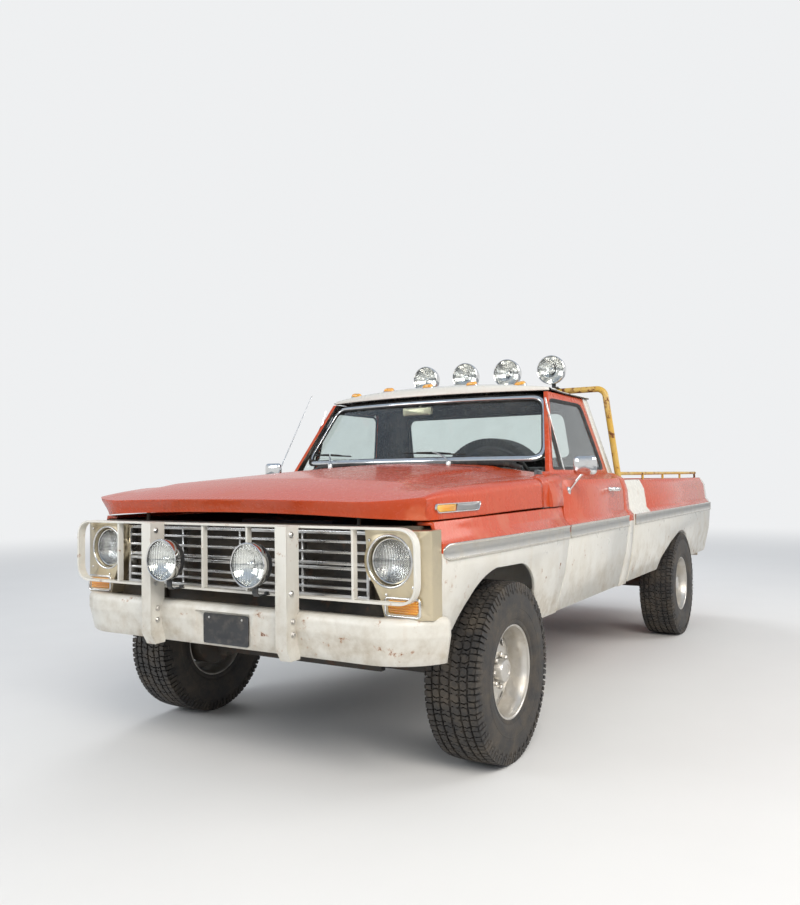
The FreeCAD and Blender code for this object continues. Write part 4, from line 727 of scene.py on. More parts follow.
# Round lamps. Sealed headlamps sit in the surrounds; driving lamps have steel shells on
# studs. Each is a chromed ring, a silvered bowl, a bulb shield and a moulded lens.


HEADLAMP_X = 0.790
HEADLAMP_Z = 0.932
GUARD_LAMP_X = 0.240
ROOF_LAMPS_X = (-0.480, -0.160, 0.160, 0.480)


def lens_finish(name, tint, flutes):
    finish = Finish(name)
    waves = finish.node("ShaderNodeMath", {"operation": "SINE"}, {0: finish.axis("x") * flutes})
    rows = finish.node("ShaderNodeMath", {"operation": "SINE"}, {0: finish.axis("z") * (flutes * 0.42)})
    grime = finish.cloud(30.0, 4.0).between(0.4, 0.9)
    return finish.surface(Base_Color=tint, Transmission_Weight=1.0, IOR=1.45, Roughness=grime * 0.10 + 0.02,
                          Normal=finish.bump(waves * 0.5 + rows * 0.3, 0.0016))


headlamp_glass = lens_finish("headlamp_glass", (0.95, 0.96, 0.95), flutes=900.0)
driving_glass = lens_finish("driving_glass", (0.95, 0.96, 0.94), flutes=420.0)
silver = Finish("lamp_silver")
silver.surface(Base_Color=silver.mix(silver.cloud(20.0) * 0.2, (0.86, 0.86, 0.85), (0.70, 0.68, 0.62)), Metallic=1.0,
               Roughness=silver.cloud(35.0) * 0.08 + 0.04)
shell_black = Finish("lamp_shell_black")
shell_black.surface(Base_Color=shell_black.mix(shell_black.cloud(25.0, 5.0).between(0.45, 0.8), (0.014, 0.015, 0.017),
                                               (0.07, 0.06, 0.05)), Roughness=shell_black.cloud(30.0) * 0.25 + 0.25,
                    Coat_Weight=0.3)


def round_lamp(name, x, face, height, radius, depth, dome, shell, glass, replaces=()):
    """A lamp that faces forwards; face is the station of the lens's middle."""
    y = face - MIDDLE
    edge = y + dome
    centre = (x, 0, height)
    rim = Form()
    rim.lathe([(edge - 0.004, radius - 0.007), (edge - 0.006, radius - 0.004), (edge - 0.004, radius - 0.0006),
               (edge + 0.004, radius - 0.0002), (edge + 0.018, radius - 0.0002), (edge + 0.024, radius - 0.002)],
              centre, "y", 72, 0)
    back = [(edge + 0.024, radius - 0.002)]
    for step in range(1, 9):
        share = step / 8
        back.append((edge + 0.024 + (depth - dome - 0.024) * math.sin(share * math.pi / 2),
                     radius * (1 - 0.58 * share ** 1.8) - 0.002))
    back.append((y + depth, 0.0005))
    rim.lathe(back, centre, "y", 72, 1)
    rim.piece(name + "_shell", [chrome, shell], "chassis", "chrome_parts", smooth=50, replaces=replaces)
    bowl = Form()
    profile = []
    for step in range(11):
        share = step / 10
        profile.append((edge + 0.001 + (depth - dome) * 0.62 * (1 - share ** 2), (radius - 0.008) * share + 0.0005))
    bowl.lathe(profile, centre, "y", 64)
    bowl.lathe([(edge + 0.012, 0.0004), (edge + 0.013, 0.010), (edge + 0.018, 0.017), (edge + 0.026, 0.019),
                (edge + 0.030, 0.018)], centre, "y", 32)
    bowl.piece(name + "_bowl", silver.material, "chassis", "chrome_parts", smooth=60)
    lens = Form()
    curve = [(y + dome * share ** 2, (radius - 0.006) * share + 0.0002)
             for share in (step / 12 for step in range(13))]
    lens.lathe(curve + [(place + 0.003, size) for place, size in reversed(curve)], centre, "y", 72)
    lens.piece(name + "_lens", glass, "chassis", "clear_glass", smooth=60)


for side, hand in ((1, "left"), (-1, "right")):
    round_lamp("headlamp_" + hand, side * HEADLAMP_X, face=0.082, height=HEADLAMP_Z, radius=0.089, depth=0.068,
               dome=0.016, shell=chrome, glass=headlamp_glass, replaces=["round_lamps"] if side > 0 else ())
    round_lamp("fog_lamp_" + hand, side * GUARD_LAMP_X, face=-0.108, height=0.910, radius=0.090, depth=0.092,
               dome=0.012, shell=shell_black.material, glass=driving_glass)
for index, x in enumerate(ROOF_LAMPS_X):
    round_lamp("roof_lamp_%d" % index, x, face=2.640, height=1.955, radius=0.097, depth=0.110,
               dome=0.012, shell=chrome, glass=driving_glass)

brackets = Form()
for side in (1, -1):
    x = side * GUARD_LAMP_X
    y = 0.012 - MIDDLE
    strap = [(y - 0.062, 0.822), (y - 0.062, 0.796), (y - 0.052, 0.7845), (y + 0.034, 0.7845), (y + 0.034, 0.7805),
             (y - 0.056, 0.7805), (y - 0.067, 0.794), (y - 0.067, 0.822)]
    brackets.prism(strap, x - 0.015, x + 0.015)
    brackets.lathe([(0.7845, 0.0105), (0.7930, 0.0105), (0.7940, 0.0002)], (x, y + 0.006, 0), "z", 6)
    brackets.rod([(x, y - 0.0645, 0.812), (x, y - 0.0645, 0.828)], 0.0085, 12)
for x in ROOF_LAMPS_X:
    y = 2.720 - MIDDLE
    foot = [(y - 0.014, 1.8402), (y + 0.076, 1.8402), (y + 0.076, 1.8442), (y - 0.009, 1.8442), (y - 0.009, 1.868),
            (y - 0.014, 1.868)]
    brackets.prism(foot, x - 0.014, x + 0.014)
    brackets.lathe([(1.8440, 0.0100), (1.8520, 0.0100), (1.8530, 0.0002)], (x, y + 0.054, 0), "z", 6)
    brackets.rod([(x, y, 1.846), (x, y, 1.874)], 0.0085, 12)
brackets.piece("lamp_brackets", shell_black.material, "chassis", "black_plastic", 0.001)

# Windscreen and window seals. Rubber channels hold the glass; a bright strip is pressed
# into the windscreen's channel, and the doors have plain rubber with a steel vent post.

SCREEN_BOW = 2.2201  # radius of the windscreen in plan
SCREEN_CORNERS = ((-0.800, 1.350), (0.800, 1.350), (0.716, 1.697), (-0.716, 1.697))
SCREEN_STATION, SCREEN_FOOT = 1.420, 1.210  # a point of the windscreen's plane
SCREEN_RUN, SCREEN_RISE = 300, 405  # how far the windscreen leans back over what height
BELT = 1.262  # height of the doors' upper edge below the glass
CAB_TALL = 0.473
CAB_LEAN = 0.120  # how far the cab's sides and rear wall lean in from belt to roof
REAR_CORNERS = ((-0.610, 1.354), (0.610, 1.354), (0.590, 1.667), (-0.590, 1.667))


def screen_y(x, z):
    """Where the windscreen's outer face lies at a width and a height."""
    bow = SCREEN_BOW - math.sqrt(SCREEN_BOW ** 2 - x * x)
    return SCREEN_STATION + bow + (z - SCREEN_FOOT) * SCREEN_RUN / SCREEN_RISE - MIDDLE


def screen_facing(x):
    return Vector((x / math.sqrt(SCREEN_BOW ** 2 - x * x), -1.0, SCREEN_RUN / SCREEN_RISE)).normalized()


def rear_y(z):
    return 2.700 - CAB_LEAN * (z - BELT) / CAB_TALL - MIDDLE


def side_x(z):
    """Half width of the door frames' outer face at a height."""
    return 0.868 - CAB_LEAN * (z - BELT) / CAB_TALL


def rounded(corners, reach, steps=5, run=0.0):
    """A closed outline whose corners are rounded off, its long runs divided where run is given."""
    points = []
    count = len(corners)
    ends = []
    for index in range(count):
        corner = Vector(corners[index])
        before = (Vector(corners[index - 1]) - corner).normalized()
        after = (Vector(corners[(index + 1) % count]) - corner).normalized()
        cut = reach[index] if isinstance(reach, (list, tuple)) else reach
        ends.append((corner + before * cut, corner, corner + after * cut))
    for index, (first, corner, last) in enumerate(ends):
        for step in range(steps + 1):
            share = step / steps
            points.append(first * (1 - share) ** 2 + corner * (2 * share * (1 - share)) + last * share ** 2)
        following = ends[(index + 1) % count][0]
        parts = int((following - last).length / run) if run else 0
        points += [last.lerp(following, part / (parts + 1)) for part in range(1, parts + 1)]
    return [tuple(point) for point in points]


def ribbon(form, points, facings, profile, kind=0, closed=True):
    """Sweeps a profile of (outwards from the loop, up from the surface) along points."""
    rows = []
    count = len(points)
    points = [Vector(point) for point in points]
    for index, point in enumerate(points):
        if closed:
            ahead = points[(index + 1) % count] - points[index - 1]
        else:
            ahead = points[min(index + 1, count - 1)] - points[max(index - 1, 0)]
        facing = Vector(facings[index] if isinstance(facings, list) else facings).normalized()
        side = ahead.cross(facing).normalized()
        rows.append([point + side * out + facing * up for out, up in profile])
    form.grid(rows + ([rows[0]] if closed else []), True, kind)
    if not closed:
        form.add(rows[0], [tuple(range(len(profile)))], kind)
        form.add(rows[-1], [tuple(range(len(profile)))[::-1]], kind)


seal_rubber = Finish("seal_rubber")
seal_rubber.surface(Base_Color=seal_rubber.mix(seal_rubber.cloud(30.0, 4.0).between(0.45, 0.8), (0.012, 0.012, 0.012),
                                               (0.06, 0.052, 0.043)),
                    Roughness=seal_rubber.cloud(18.0) * 0.2 + 0.5,
                    Normal=seal_rubber.bump(seal_rubber.cloud(240.0), 0.0004))
CHANNEL = ((-0.014, -0.007), (-0.014, 0.001), (-0.009, 0.004), (0.004, 0.0045), (0.026, 0.004), (0.030, 0.000),
           (0.028, -0.001), (-0.004, -0.007))
STRIP = ((-0.007, 0.0035), (-0.005, 0.0075), (0.000, 0.0092), (0.012, 0.0092), (0.019, 0.0078), (0.022, 0.0035))
screen_loop = rounded(SCREEN_CORNERS, 0.070, 7, 0.06)
screen_points = [(x, screen_y(x, z), z) for x, z in screen_loop]
screen_facings = [screen_facing(x) for x, z in screen_loop]
rear_loop = rounded(REAR_CORNERS[::-1], 0.070, 7)
rear_points = [(x, rear_y(z), z) for x, z in rear_loop]
cab_seals = Form()
ribbon(cab_seals, screen_points, screen_facings, CHANNEL)
ribbon(cab_seals, rear_points, (0, 0.969, 0.246), CHANNEL)
cab_seals.piece("cab_glass_seals", seal_rubber.material, "chassis", "black_plastic", smooth=50)
screen_strip = Form()
ribbon(screen_strip, screen_points, screen_facings, STRIP)
screen_strip.piece("windscreen_strip", chrome, "chassis", "chrome_parts", smooth=50)

VENT = ((1.643, 1.286), (1.793, 1.286), (1.793, 1.585), (1.787, 1.585))
PANE = ((1.809, 1.286), (2.530, 1.286), (2.414, 1.686), (1.879, 1.686), (1.809, 1.6167))
DOOR_CHANNEL = ((-0.013, -0.016), (-0.013, -0.009), (-0.006, -0.004), (0.001, 0.0005), (0.006, 0.0015), (0.006, 0.000),
                (0.002, -0.016))
for side, hand in ((1, "left"), (-1, "right")):
    seals = Form()
    for corners, reach in ((PANE, (0.03, 0.05, 0.06, 0.05, 0.02)), (VENT, (0.02, 0.015, 0.002, 0.002))):
        loop = rounded(corners, reach, 5)
        if side < 0:
            loop = loop[::-1]
        ribbon(seals, [(side * side_x(z), s - MIDDLE, z) for s, z in loop], (side * 0.969, 0, 0.246), DOOR_CHANNEL)
    seals.piece("door_seals_" + hand, seal_rubber.material, "door_" + hand, "black_plastic", smooth=50)
    post = Form()
    post.prism([(1.7945 - MIDDLE, 1.280), (1.8075 - MIDDLE, 1.280), (1.8075 - MIDDLE, 1.690), (1.7945 - MIDDLE, 1.590)],
               -0.004, 0.0055)
    post.points = [(side * (side_x(z) + x), y, z) for x, y, z in post.points]
    post.lathe([(side * 0.790, 0.0090), (side * 0.806, 0.0090), (side * 0.806, 0.0002)],
               (0, 1.775 - MIDDLE, 1.300), "x", 16)
    post.piece("vent_post_" + hand, chrome, "door_" + hand, "chrome_parts", 0.0012)

# Wipers and aerial. Two spring arms park along the foot of the windscreen; a thin rod
# aerial stands on the right cowl in a chromed cup.

WIPERS = (
    # pivot x, blade from x and z, blade to x and z
    (0.330, (0.380, 1.366), (-0.010, 1.384)), (-0.470, (-0.400, 1.374), (-0.760, 1.392)),
)
for number, (pivot_x, (x0, z0), (x1, z1)) in enumerate(WIPERS):
    def on_glass(share, out):
        x, z = x0 + (x1 - x0) * share, z0 + (z1 - z0) * share
        return Vector((x, screen_y(x, z), z)) + screen_facing(x) * out

    pivot = Vector((pivot_x, 1.448 - MIDDLE, 1.3325))
    arm = Form()
    arm.lathe([(1.305 if number == 0 else 1.290, 0.0150), (1.328, 0.0140), (1.338, 0.0110), (1.341, 0.0002)],
              (pivot.x, pivot.y, 0), "z", 20)
    middle = on_glass(0.5, 0.024)
    arm.rod([pivot, pivot.lerp(middle, 0.25) + Vector((0, 0, 0.014)),
             pivot.lerp(middle, 0.7) + Vector((0, -0.004, 0.010)),
             middle], [0.0065, 0.0055, 0.0035, 0.0032], 10)
    arm.piece("wiper_arm_%d" % number, grille_metal, "chassis", "chrome_parts", smooth=60)
    blade = Form()
    blade.rod([on_glass(step / 10, 0.0105) for step in range(11)], 0.0042, 8)
    blade.rod([on_glass(0.22 + 0.56 * step / 6, 0.016 + 0.006 * math.sin(step / 6 * math.pi)) for step in range(7)],
              0.0034, 8)
    blade.piece("wiper_blade_%d" % number, seal_rubber.material, "chassis", "black_plastic", smooth=60)
aerial = Form()
aerial.lathe([(1.246, 0.020), (1.256, 0.020), (1.266, 0.012), (1.280, 0.009), (1.284, 0.0002)],
             (-0.850, 1.411 - MIDDLE, 0), "z", 24)
aerial.rod([(-0.850, 1.415 - MIDDLE, 1.268), (-0.850, 1.560 - MIDDLE, 1.479), (-0.850, 1.774 - MIDDLE, 1.790)],
           [0.0036, 0.0030, 0.0019], 10)
aerial.lathe([(1.7860, 0.0002), (1.7880, 0.0034), (1.7930, 0.0034), (1.7950, 0.0002)], (-0.850, 1.775 - MIDDLE, 0),
             "z", 12)
aerial.piece("aerial", chrome, "chassis", "chrome_parts", smooth=60)

# Side mouldings. An aluminium strip runs along each side at the paint line: two rolled
# bright beads with a brushed insert between them, clipped on in three lengths.

moulding_insert = bright_finish("moulding_insert", (0.50, 0.49, 0.46), haze=0.34, pits=0.5, dusty=0.5)
moulding_bead = bright_finish("moulding_bead", (0.70, 0.66, 0.58), haze=0.14, pits=0.4, dusty=0.4)
MOULDING = (
    # height, how far out, 0 for bead and 1 for insert on the face above the point
    (0.9255, 0.0003, 0), (0.9262, 0.0050, 0), (0.9290, 0.0076, 0), (0.9335, 0.0078, 0), (0.9370, 0.0050, 1),
    (0.9830, 0.0050, 0), (0.9865, 0.0078, 0), (0.9910, 0.0076, 0), (0.9938, 0.0050, 0), (0.9945, 0.0003, 0),
)

FENDER_TUCKS = ((0.186, 0.038), (0.700, 0.0095), (1.494, 0.0))  # station, how far in


def fender_tuck(station):
    """How far the fender's side lies inside the widest line."""
    for (s0, t0), (s1, t1) in zip(FENDER_TUCKS, FENDER_TUCKS[1:]):
        if station <= s1:
            return t0 + (t1 - t0) * max(0.0, station - s0) / (s1 - s0)
    return 0.0


def moulding_piece(name, side, stations, body, replaces=(), tip=0.0, slant=0.0):
    form = Form()
    rows = []
    for index, station in enumerate(stations):
        base = 1.0 - fender_tuck(station)
        row = []
        for z, out, _ in MOULDING:
            drawn = station
            if tip:
                # the front end is rounded: its heights close towards the middle
                share = min(1.0, max(0.0, (station - stations[0]) / tip))
                z = 0.960 + (z - 0.960) * (0.30 + 0.70 * math.sqrt(share))
                out = out * (0.35 + 0.65 * share ** 0.4)
            if slant and index in (0, len(stations) - 1):
                drawn += slant * (z - 0.960)
            row.append((side * (base + out), drawn - MIDDLE, z))
        rows.append(row)
    for column in range(len(MOULDING) - 1):
        form.grid([[row[column], row[column + 1]] for row in rows], False, MOULDING[column][2])
    form.add(rows[0], [tuple(range(len(MOULDING)))])
    form.add(rows[-1], [tuple(range(len(MOULDING)))[::-1]])
    return form.piece(name, [moulding_bead, moulding_insert], body, "chrome_parts", smooth=50, replaces=replaces)


for side, hand in ((1, "left"), (-1, "right")):
    first = ["side_mouldings"] if side > 0 else ()
    moulding_piece("moulding_fender_" + hand, side,
                   [0.188, 0.192, 0.200, 0.212, 0.230, 0.300, 0.500, 0.700, 0.900, 1.200, 1.490], "chassis", first,
                   tip=0.045)
    moulding_piece("moulding_bed_" + hand, side, [2.738, 3.500, 4.500, 5.231], "chassis")
    moulding_piece("moulding_door_" + hand, side, [1.506, 2.000, 2.588], "door_" + hand)

# Door furniture. Chromed die-cast pull handles with a push button, and a rectangular
# mirror on a slanting tube that two screws hold to the door.

mirror_glass = Finish("mirror_glass")
mirror_glass.surface(Base_Color=mirror_glass.mix(mirror_glass.cloud(12.0) * 0.3, (0.86, 0.88, 0.89),
                                                 (0.74, 0.75, 0.74)),
                     Metallic=1.0, Roughness=mirror_glass.cloud(20.0) * 0.05 + 0.01)


def drawn_in(outline, middle, steps, place):
    """Rings of an outline drawn in towards its middle by (size, level); place makes a point of a, b and level."""
    return [[place(middle[0] + (a - middle[0]) * size, middle[1] + (b - middle[1]) * size, level) for a, b in outline]
            for size, level in steps]


for side, hand in ((1, "left"), (-1, "right")):
    def door_place(x, s, z):
        return (side * x, s - MIDDLE, z)

    def mirror_place(x, z, s):
        return door_place(x, s, z)

    mirror = Form()
    head = rounded(((0.9855, 1.2505), (1.1095, 1.2505), (1.1095, 1.3495), (0.9855, 1.3495)), 0.026, 6)
    centre = (1.0475, 1.300)
    mirror.capped(drawn_in(head, centre, (
        (0.955, 1.6235), (0.985, 1.6235), (1.0, 1.6205), (1.0, 1.6130), (0.975, 1.6060), (0.90, 1.6010),
        (0.72, 1.5970), (0.45, 1.5950), (0.15, 1.5942)), mirror_place))
    mirror.rod([door_place(0.9560, 1.6100, 1.1640), door_place(0.9720, 1.6100, 1.1850),
                door_place(1.0230, 1.6100, 1.2460),
                door_place(1.0360, 1.6100, 1.2580)], 0.0066, 14)
    mirror.lathe([(side * 0.9500, 0.0230), (side * 0.9630, 0.0215), (side * 0.9670, 0.0150), (side * 0.9680, 0.0002)],
                 (0, 1.6100 - MIDDLE, 1.1660), "x", 28)
    mirror.piece("mirror_" + hand, chrome, "door_" + hand, "chrome_parts", smooth=50, replaces=["door_trim_" + hand])
    glass = Form()
    glass.capped(drawn_in(head, centre, ((0.950, 1.6225), (0.930, 1.6234), (0.45, 1.6236), (0.05, 1.6236)),
                          mirror_place))
    glass.piece("mirror_glass_" + hand, mirror_glass.material, "door_" + hand, "chrome_parts", smooth=40)

    handle = Form()
    for s in (2.3190, 2.4150):
        plate = rounded(((s - 0.0165, 1.1475), (s + 0.0165, 1.1475), (s + 0.0165, 1.1745), (s - 0.0165, 1.1745)),
                        0.008, 4)
        handle.capped(drawn_in(plate, (s, 1.161), ((1.0, 0.9570), (1.0, 0.9690), (0.85, 0.9730), (0.60, 0.9760)),
                               lambda s, z, out: door_place(out, s, z)))
    grip = [(0.9700, 2.3180), (0.9900, 2.3220), (1.0050, 2.3380), (1.0090, 2.3670), (1.0050, 2.3960), (0.9900, 2.4120),
            (0.9700, 2.4160)]
    rows = []
    for index, (x, s) in enumerate(grip):
        ahead = Vector(grip[min(index + 1, 6)]) - Vector(grip[max(index - 1, 0)])
        across = Vector((-ahead.y, ahead.x)).normalized()
        rows.append([door_place(x + across.x * 0.0045 * math.cos(turn), s + across.y * 0.0045 * math.cos(turn),
                                1.161 + 0.0105 * math.sin(turn))
                     for turn in full_turn(16)])
    handle.grid(rows, True)
    handle.lathe([(side * 0.9700, 0.0095), (side * 0.9860, 0.0095), (side * 0.9890, 0.0075), (side * 0.9895, 0.0002)],
                 (0, 2.4150 - MIDDLE, 1.1610), "x", 24)
    handle.piece("door_handle_" + hand, chrome, "door_" + hand, "chrome_parts", smooth=50)

# Hood. A deep pressing, hinged at the cowl: a raised middle runs back from the nose, the
# nose sweeps round at its corners, and its front face is hollowed above the grille.

# Station, half width, height of the shoulder, height of the crown
HOOD_ROWS = ((0.022, 0.915, 1.150, 1.166), (0.370, 0.930, 1.207, 1.252), (1.262, 0.952, 1.240, 1.315))
HOOD_REAR = 1.262
HOOD_SEAM = 0.004  # how far the upper skin stands in from the hood's side
NOSE_HALF = 0.911
NOSE_START = 0.022
NOSE_FLAT = 0.620  # half width of the nose's straight middle
NOSE_BEND = 0.400  # radius of its corners in plan
RIDGE_IN = 0.296  # distance from the side to the ridge beside the crown
HOOD_SHEET = 0.012


def climb(amount, low, high):
    """0 below low, 1 above high, smooth between."""
    share = min(1.0, max(0.0, (amount - low) / (high - low)))
    return share * share * (3 - 2 * share)


def hood_row(station):
    """Half width, shoulder height and crown height of the hood at a station."""
    for first, last in zip(HOOD_ROWS, HOOD_ROWS[1:]):
        if station <= last[0]:
            break
    share = (station - first[0]) / (last[0] - first[0])
    half, shoulder, crown = (a + (b - a) * share for a, b in zip(first[1:], last[1:]))
    bow = 0.018 * math.sin(math.pi * share) if first is HOOD_ROWS[0] else 0.008 * math.sin(math.pi * share)
    return half, shoulder + bow * 0.3, crown + bow * 0.3


def hood_top(x, station):
    """Height of the hood's upper skin: rolled edge, slope to the ridge, crown, less the side hollows."""
    half, shoulder, crown = hood_row(station)
    inside = half - HOOD_SEAM - abs(x)
    turn = 0.020 + 0.040 * climb(station, 0.10, 0.50)
    drop = turn * 0.75
    ridge = shoulder + 0.55 * (crown - shoulder)
    if inside < turn:
        return shoulder - drop * (1 - math.sqrt(max(0.0, 1 - ((turn - inside) / turn) ** 2)))
    if inside < RIDGE_IN:
        flat = shoulder + (ridge - shoulder) * (inside - turn) / (RIDGE_IN - turn)
    else:
        flat = ridge + (crown - ridge) * (1 - (abs(x) / (half - HOOD_SEAM - RIDGE_IN)) ** 2)
    edge = 0.700 - 0.120 * climb(station, 0.10, 0.95)
    hollow = 0.011 * climb(abs(x), edge - 0.035, edge + 0.030) * climb(inside, 0.07, 0.16) * climb(station, 0.16, 0.50)
    return flat - hollow


def nose_line(x):
    """Station of the nose's crest, and how far its outline has turned."""
    reach = max(0.0, abs(x) - NOSE_FLAT)
    return NOSE_START + NOSE_BEND - math.sqrt(NOSE_BEND ** 2 - reach ** 2), math.asin(reach / NOSE_BEND)


# The front face from crest to lip: share of the fall, distance behind the crest's outline
NOSE_FACE = ((0.0, 0.0), (0.05, 0.0008), (0.14, 0.0045), (0.30, 0.0110), (0.50, 0.0195), (0.70, 0.0275), (0.86, 0.0335),
             (0.95, 0.0350), (1.0, 0.0370), (1.0, 0.0440))
hood_form = Form()
across = [math.sin(math.pi / 2 * (step / 56 - 1) * 0.999) for step in range(113)]
rows = []
for step in range(61):
    share = (step / 60) ** 1.35
    row = []
    for part in across:
        x = part * NOSE_HALF
        start = nose_line(x)[0]
        station = start + (HOOD_REAR - start) * share
        x = part * (hood_row(station)[0] - HOOD_SEAM)
        row.append((x, station - MIDDLE, hood_top(x, station)))
    rows.append(row)
hood_form.grid(rows)
crest = rows[0]
front_rows = []
for fall, setback in NOSE_FACE:
    row = []
    for x, y, z in crest:
        turned = nose_line(x)[1] * (1 if x > 0 else -1)
        lip = 1.110 - 0.027 * (x / NOSE_HALF) ** 2
        row.append((x - math.sin(turned) * setback, y + math.cos(turned) * setback, z + (lip - z) * fall))
    front_rows.append(row)
hood_form.grid(front_rows)
for column in (0, -1):
    corner = [row[column] for row in front_rows]
    edges = []
    for row in rows:
        x, y, z = row[column]
        fade = max(0.0, 1 - (y - crest[column][1]) / 0.09) ** 2
        low = 1.084 + 0.009 * climb(y + MIDDLE, 0.3, 1.26)
        line = []
        for (fall, setback), turned in zip(NOSE_FACE, corner):
            out = (1 - fade) * HOOD_SEAM * fall * (1 if x > 0 else -1)
            line.append((x + out + fade * (turned[0] - corner[0][0]), y + fade * (turned[1] - corner[0][1]),
                         z + (low + fade * (corner[-1][2] - low) - z) * fall))
        edges.append(line)
    hood_form.grid(edges)
hood_piece = hood_form.piece("hood_skin", hood_paint, "hood", "orange_paint", smooth=34, replaces=["hood"])
shell = hood_piece.modifiers.new("metal", "SOLIDIFY")
shell.thickness = HOOD_SHEET
shell.offset = -1.0

# Cowl. The pressed panel between hood and windscreen, flush with the hood, with two rows of
# openings that let air into the heater, drawn as flat black faces of painted shade. The welded cab behind it is cut to
# the same line.

COWL_GAP = 0.004
COWL_RISE = 0.05  # rise for each metre back
COWL_SIDE = 1.495  # where the cowl ends in front of the doors
COWL_STEP = 0.805  # half width within which it runs on to the windscreen


def cowl_rear(x):
    """Station where the cowl meets the windscreen's foot, or the door's front edge at the sides."""
    return screen_y(x, 1.290) + MIDDLE - 0.003 if abs(x) < COWL_STEP else COWL_SIDE


def cowl_top(x, station):
    return hood_top(x, HOOD_REAR) + (station - HOOD_REAR) * COWL_RISE


spread = [0.90 * math.sin(math.pi / 2 * (step / 40 - 1)) for step in range(81)]
cowl_columns = sorted([x for x in spread if abs(abs(x) - 0.807) > 0.008] + [-0.812, -0.802, 0.802, 0.812])
cowl_form = Form()
rows = [[(x, HOOD_REAR + COWL_GAP - MIDDLE, cowl_top(x, HOOD_REAR) - 0.020) for x in cowl_columns]]
for step in range(11):
    share = step / 10
    rows.append([(x, HOOD_REAR + COWL_GAP + (cowl_rear(x) - HOOD_REAR - COWL_GAP) * share - MIDDLE,
                  cowl_top(x, HOOD_REAR + (cowl_rear(x) - HOOD_REAR) * share) + 0.0006) for x in cowl_columns])
cowl_form.grid(rows)
cowl_form.piece("cowl_panel", hood_paint, "chassis", "orange_paint", smooth=40)
# Painted shade: the openings are not cut. Flat black faces just above the panel stand for the shade inside them.
slot_shades = Form()
for side in (1, -1):
    for index in range(26):
        for row in (0, 1):
            x = side * (0.120 + 0.0175 * index)
            s = 1.330 + row * 0.036
            corners = ((x - 0.0035, s), (x + 0.0035, s), (x + 0.0035, s + 0.026), (x - 0.0035, s + 0.026))
            slot_shades.add([(px, ps - MIDDLE, cowl_top(px, ps) + 0.0014) for px, ps in corners], [(0, 1, 2, 3)])
slot_shades.piece("cowl_slot_shades", shell_black.material, "chassis", "black_plastic")
TRIM_START = 1.240  # the cut's front station
TRIM_TOP = 1.460
trim_form = Form()
columns = [x for x in cowl_columns if abs(x) <= 0.886]
for level in (0, 1):
    rows = []
    for step in range(5):
        share = step / 4
        rows.append([(x, TRIM_START + (cowl_rear(x) - 0.001 - TRIM_START) * share - MIDDLE,
                      TRIM_TOP if level else cowl_top(x, HOOD_REAR + (cowl_rear(x) - HOOD_REAR) * share) - 0.005)
                     for x in columns])
    trim_form.grid(rows)
    if level == 0:
        floor_rows = rows
for low, high in ((floor_rows[0], rows[0]), (floor_rows[-1], rows[-1]),
                  ([row[0] for row in floor_rows], [row[0] for row in rows]),
                  ([row[-1] for row in floor_rows], [row[-1] for row in rows])):
    trim_form.grid([low, high])
trimmer = bpy.data.objects.new("cowl_trimmer", trim_form.mesh("cowl_trimmer"))
scene.collection.objects.link(trimmer)
cab_body = bpy.data.objects.new("cab_body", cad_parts["cab_shell"].data.copy())
scene.collection.objects.link(cab_body)
trim = cab_body.modifiers.new("trim", "BOOLEAN")
trim.operation = "DIFFERENCE"
trim.object = trimmer
cab_body.data = bpy.data.meshes.new_from_object(cab_body.evaluated_get(bpy.context.evaluated_depsgraph_get()))
cab_body.modifiers.clear()
bpy.data.objects.remove(trimmer)
dress("cab_body", cab_paint, 0.003)
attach(cab_body, "chassis")
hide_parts("cab_shell")

# Roof. A crowned pressing welded to the cab, with a brow over the windscreen and a rolled
# drip rail down each side.

ROOF_HALF = 0.748
ROOF_EDGE = 1.735
ROOF_CROWN = 0.080
BROW = 0.034  # how far the brow stands out in front of the windscreen


def roof_front(x):
    """Station of the brow's front edge."""
    return screen_y(x, ROOF_EDGE) + MIDDLE - BROW


def roof_height(x, rise):
    """Height of the roof at a share of its full crown."""
    return ROOF_EDGE + ROOF_CROWN * rise * max(0.0, 1 - abs(x / ROOF_HALF) ** 2.6) ** 0.62


roof_form = Form()
columns = [math.sin(math.pi / 2 * (step / 30 - 1)) * ROOF_HALF for step in range(61)]
rows = []
for reach, rise, lift in ((0.030, 0.0, 0.0015), (0.006, 0.0, 0.0), (0.0005, 0.0, 0.004), (0.0, 0.0, 0.011),
                          (0.003, 0.10, 0.019),
                          (0.009, 0.22, 0.022), (0.020, 0.38, 0.020), (0.040, 0.56, 0.014), (0.075, 0.73, 0.008),
                          (0.130, 0.86, 0.003), (0.210, 0.95, 0.0), (0.320, 1.0, 0.0)):
    rows.append([(x, roof_front(x) + reach - MIDDLE, roof_height(x, rise) + lift) for x in columns])
for station, rise in ((2.20, 1.0), (2.32, 0.97), (2.40, 0.91), (2.46, 0.82), (2.50, 0.70), (2.535, 0.50), (2.560, 0.30),
                      (2.574, 0.12), (2.580, 0.0)):
    rows.append([(x, station - MIDDLE, roof_height(x, rise)) for x in columns])
roof_form.grid(rows)
for column, side in ((0, -1), (-1, 1)):
    rail = [Vector(row[column]) for row in rows[3:]]
    profile = ((0.000, 0.004), (0.010, 0.004), (0.0145, 0.007), (0.0155, 0.004), (0.012, -0.001), (0.000, -0.002))
    roof_form.grid([[point + Vector((side * out, 0, up - max(0.0, point.z - 1.741))) for out, up in profile]
                    for point in rail], True)
roof_form.piece("roof_skin", roof_paint, "chassis", "white_paint", smooth=50, replaces=["cab_roof"])
headliner_board = Finish("headliner_board")
headliner_board.surface(Base_Color=headliner_board.mix(headliner_board.cloud(6.0), (0.030, 0.028, 0.026),
                                                       (0.055, 0.051, 0.047)),
                        Roughness=headliner_board.cloud(20.0) * 0.1 + 0.80)
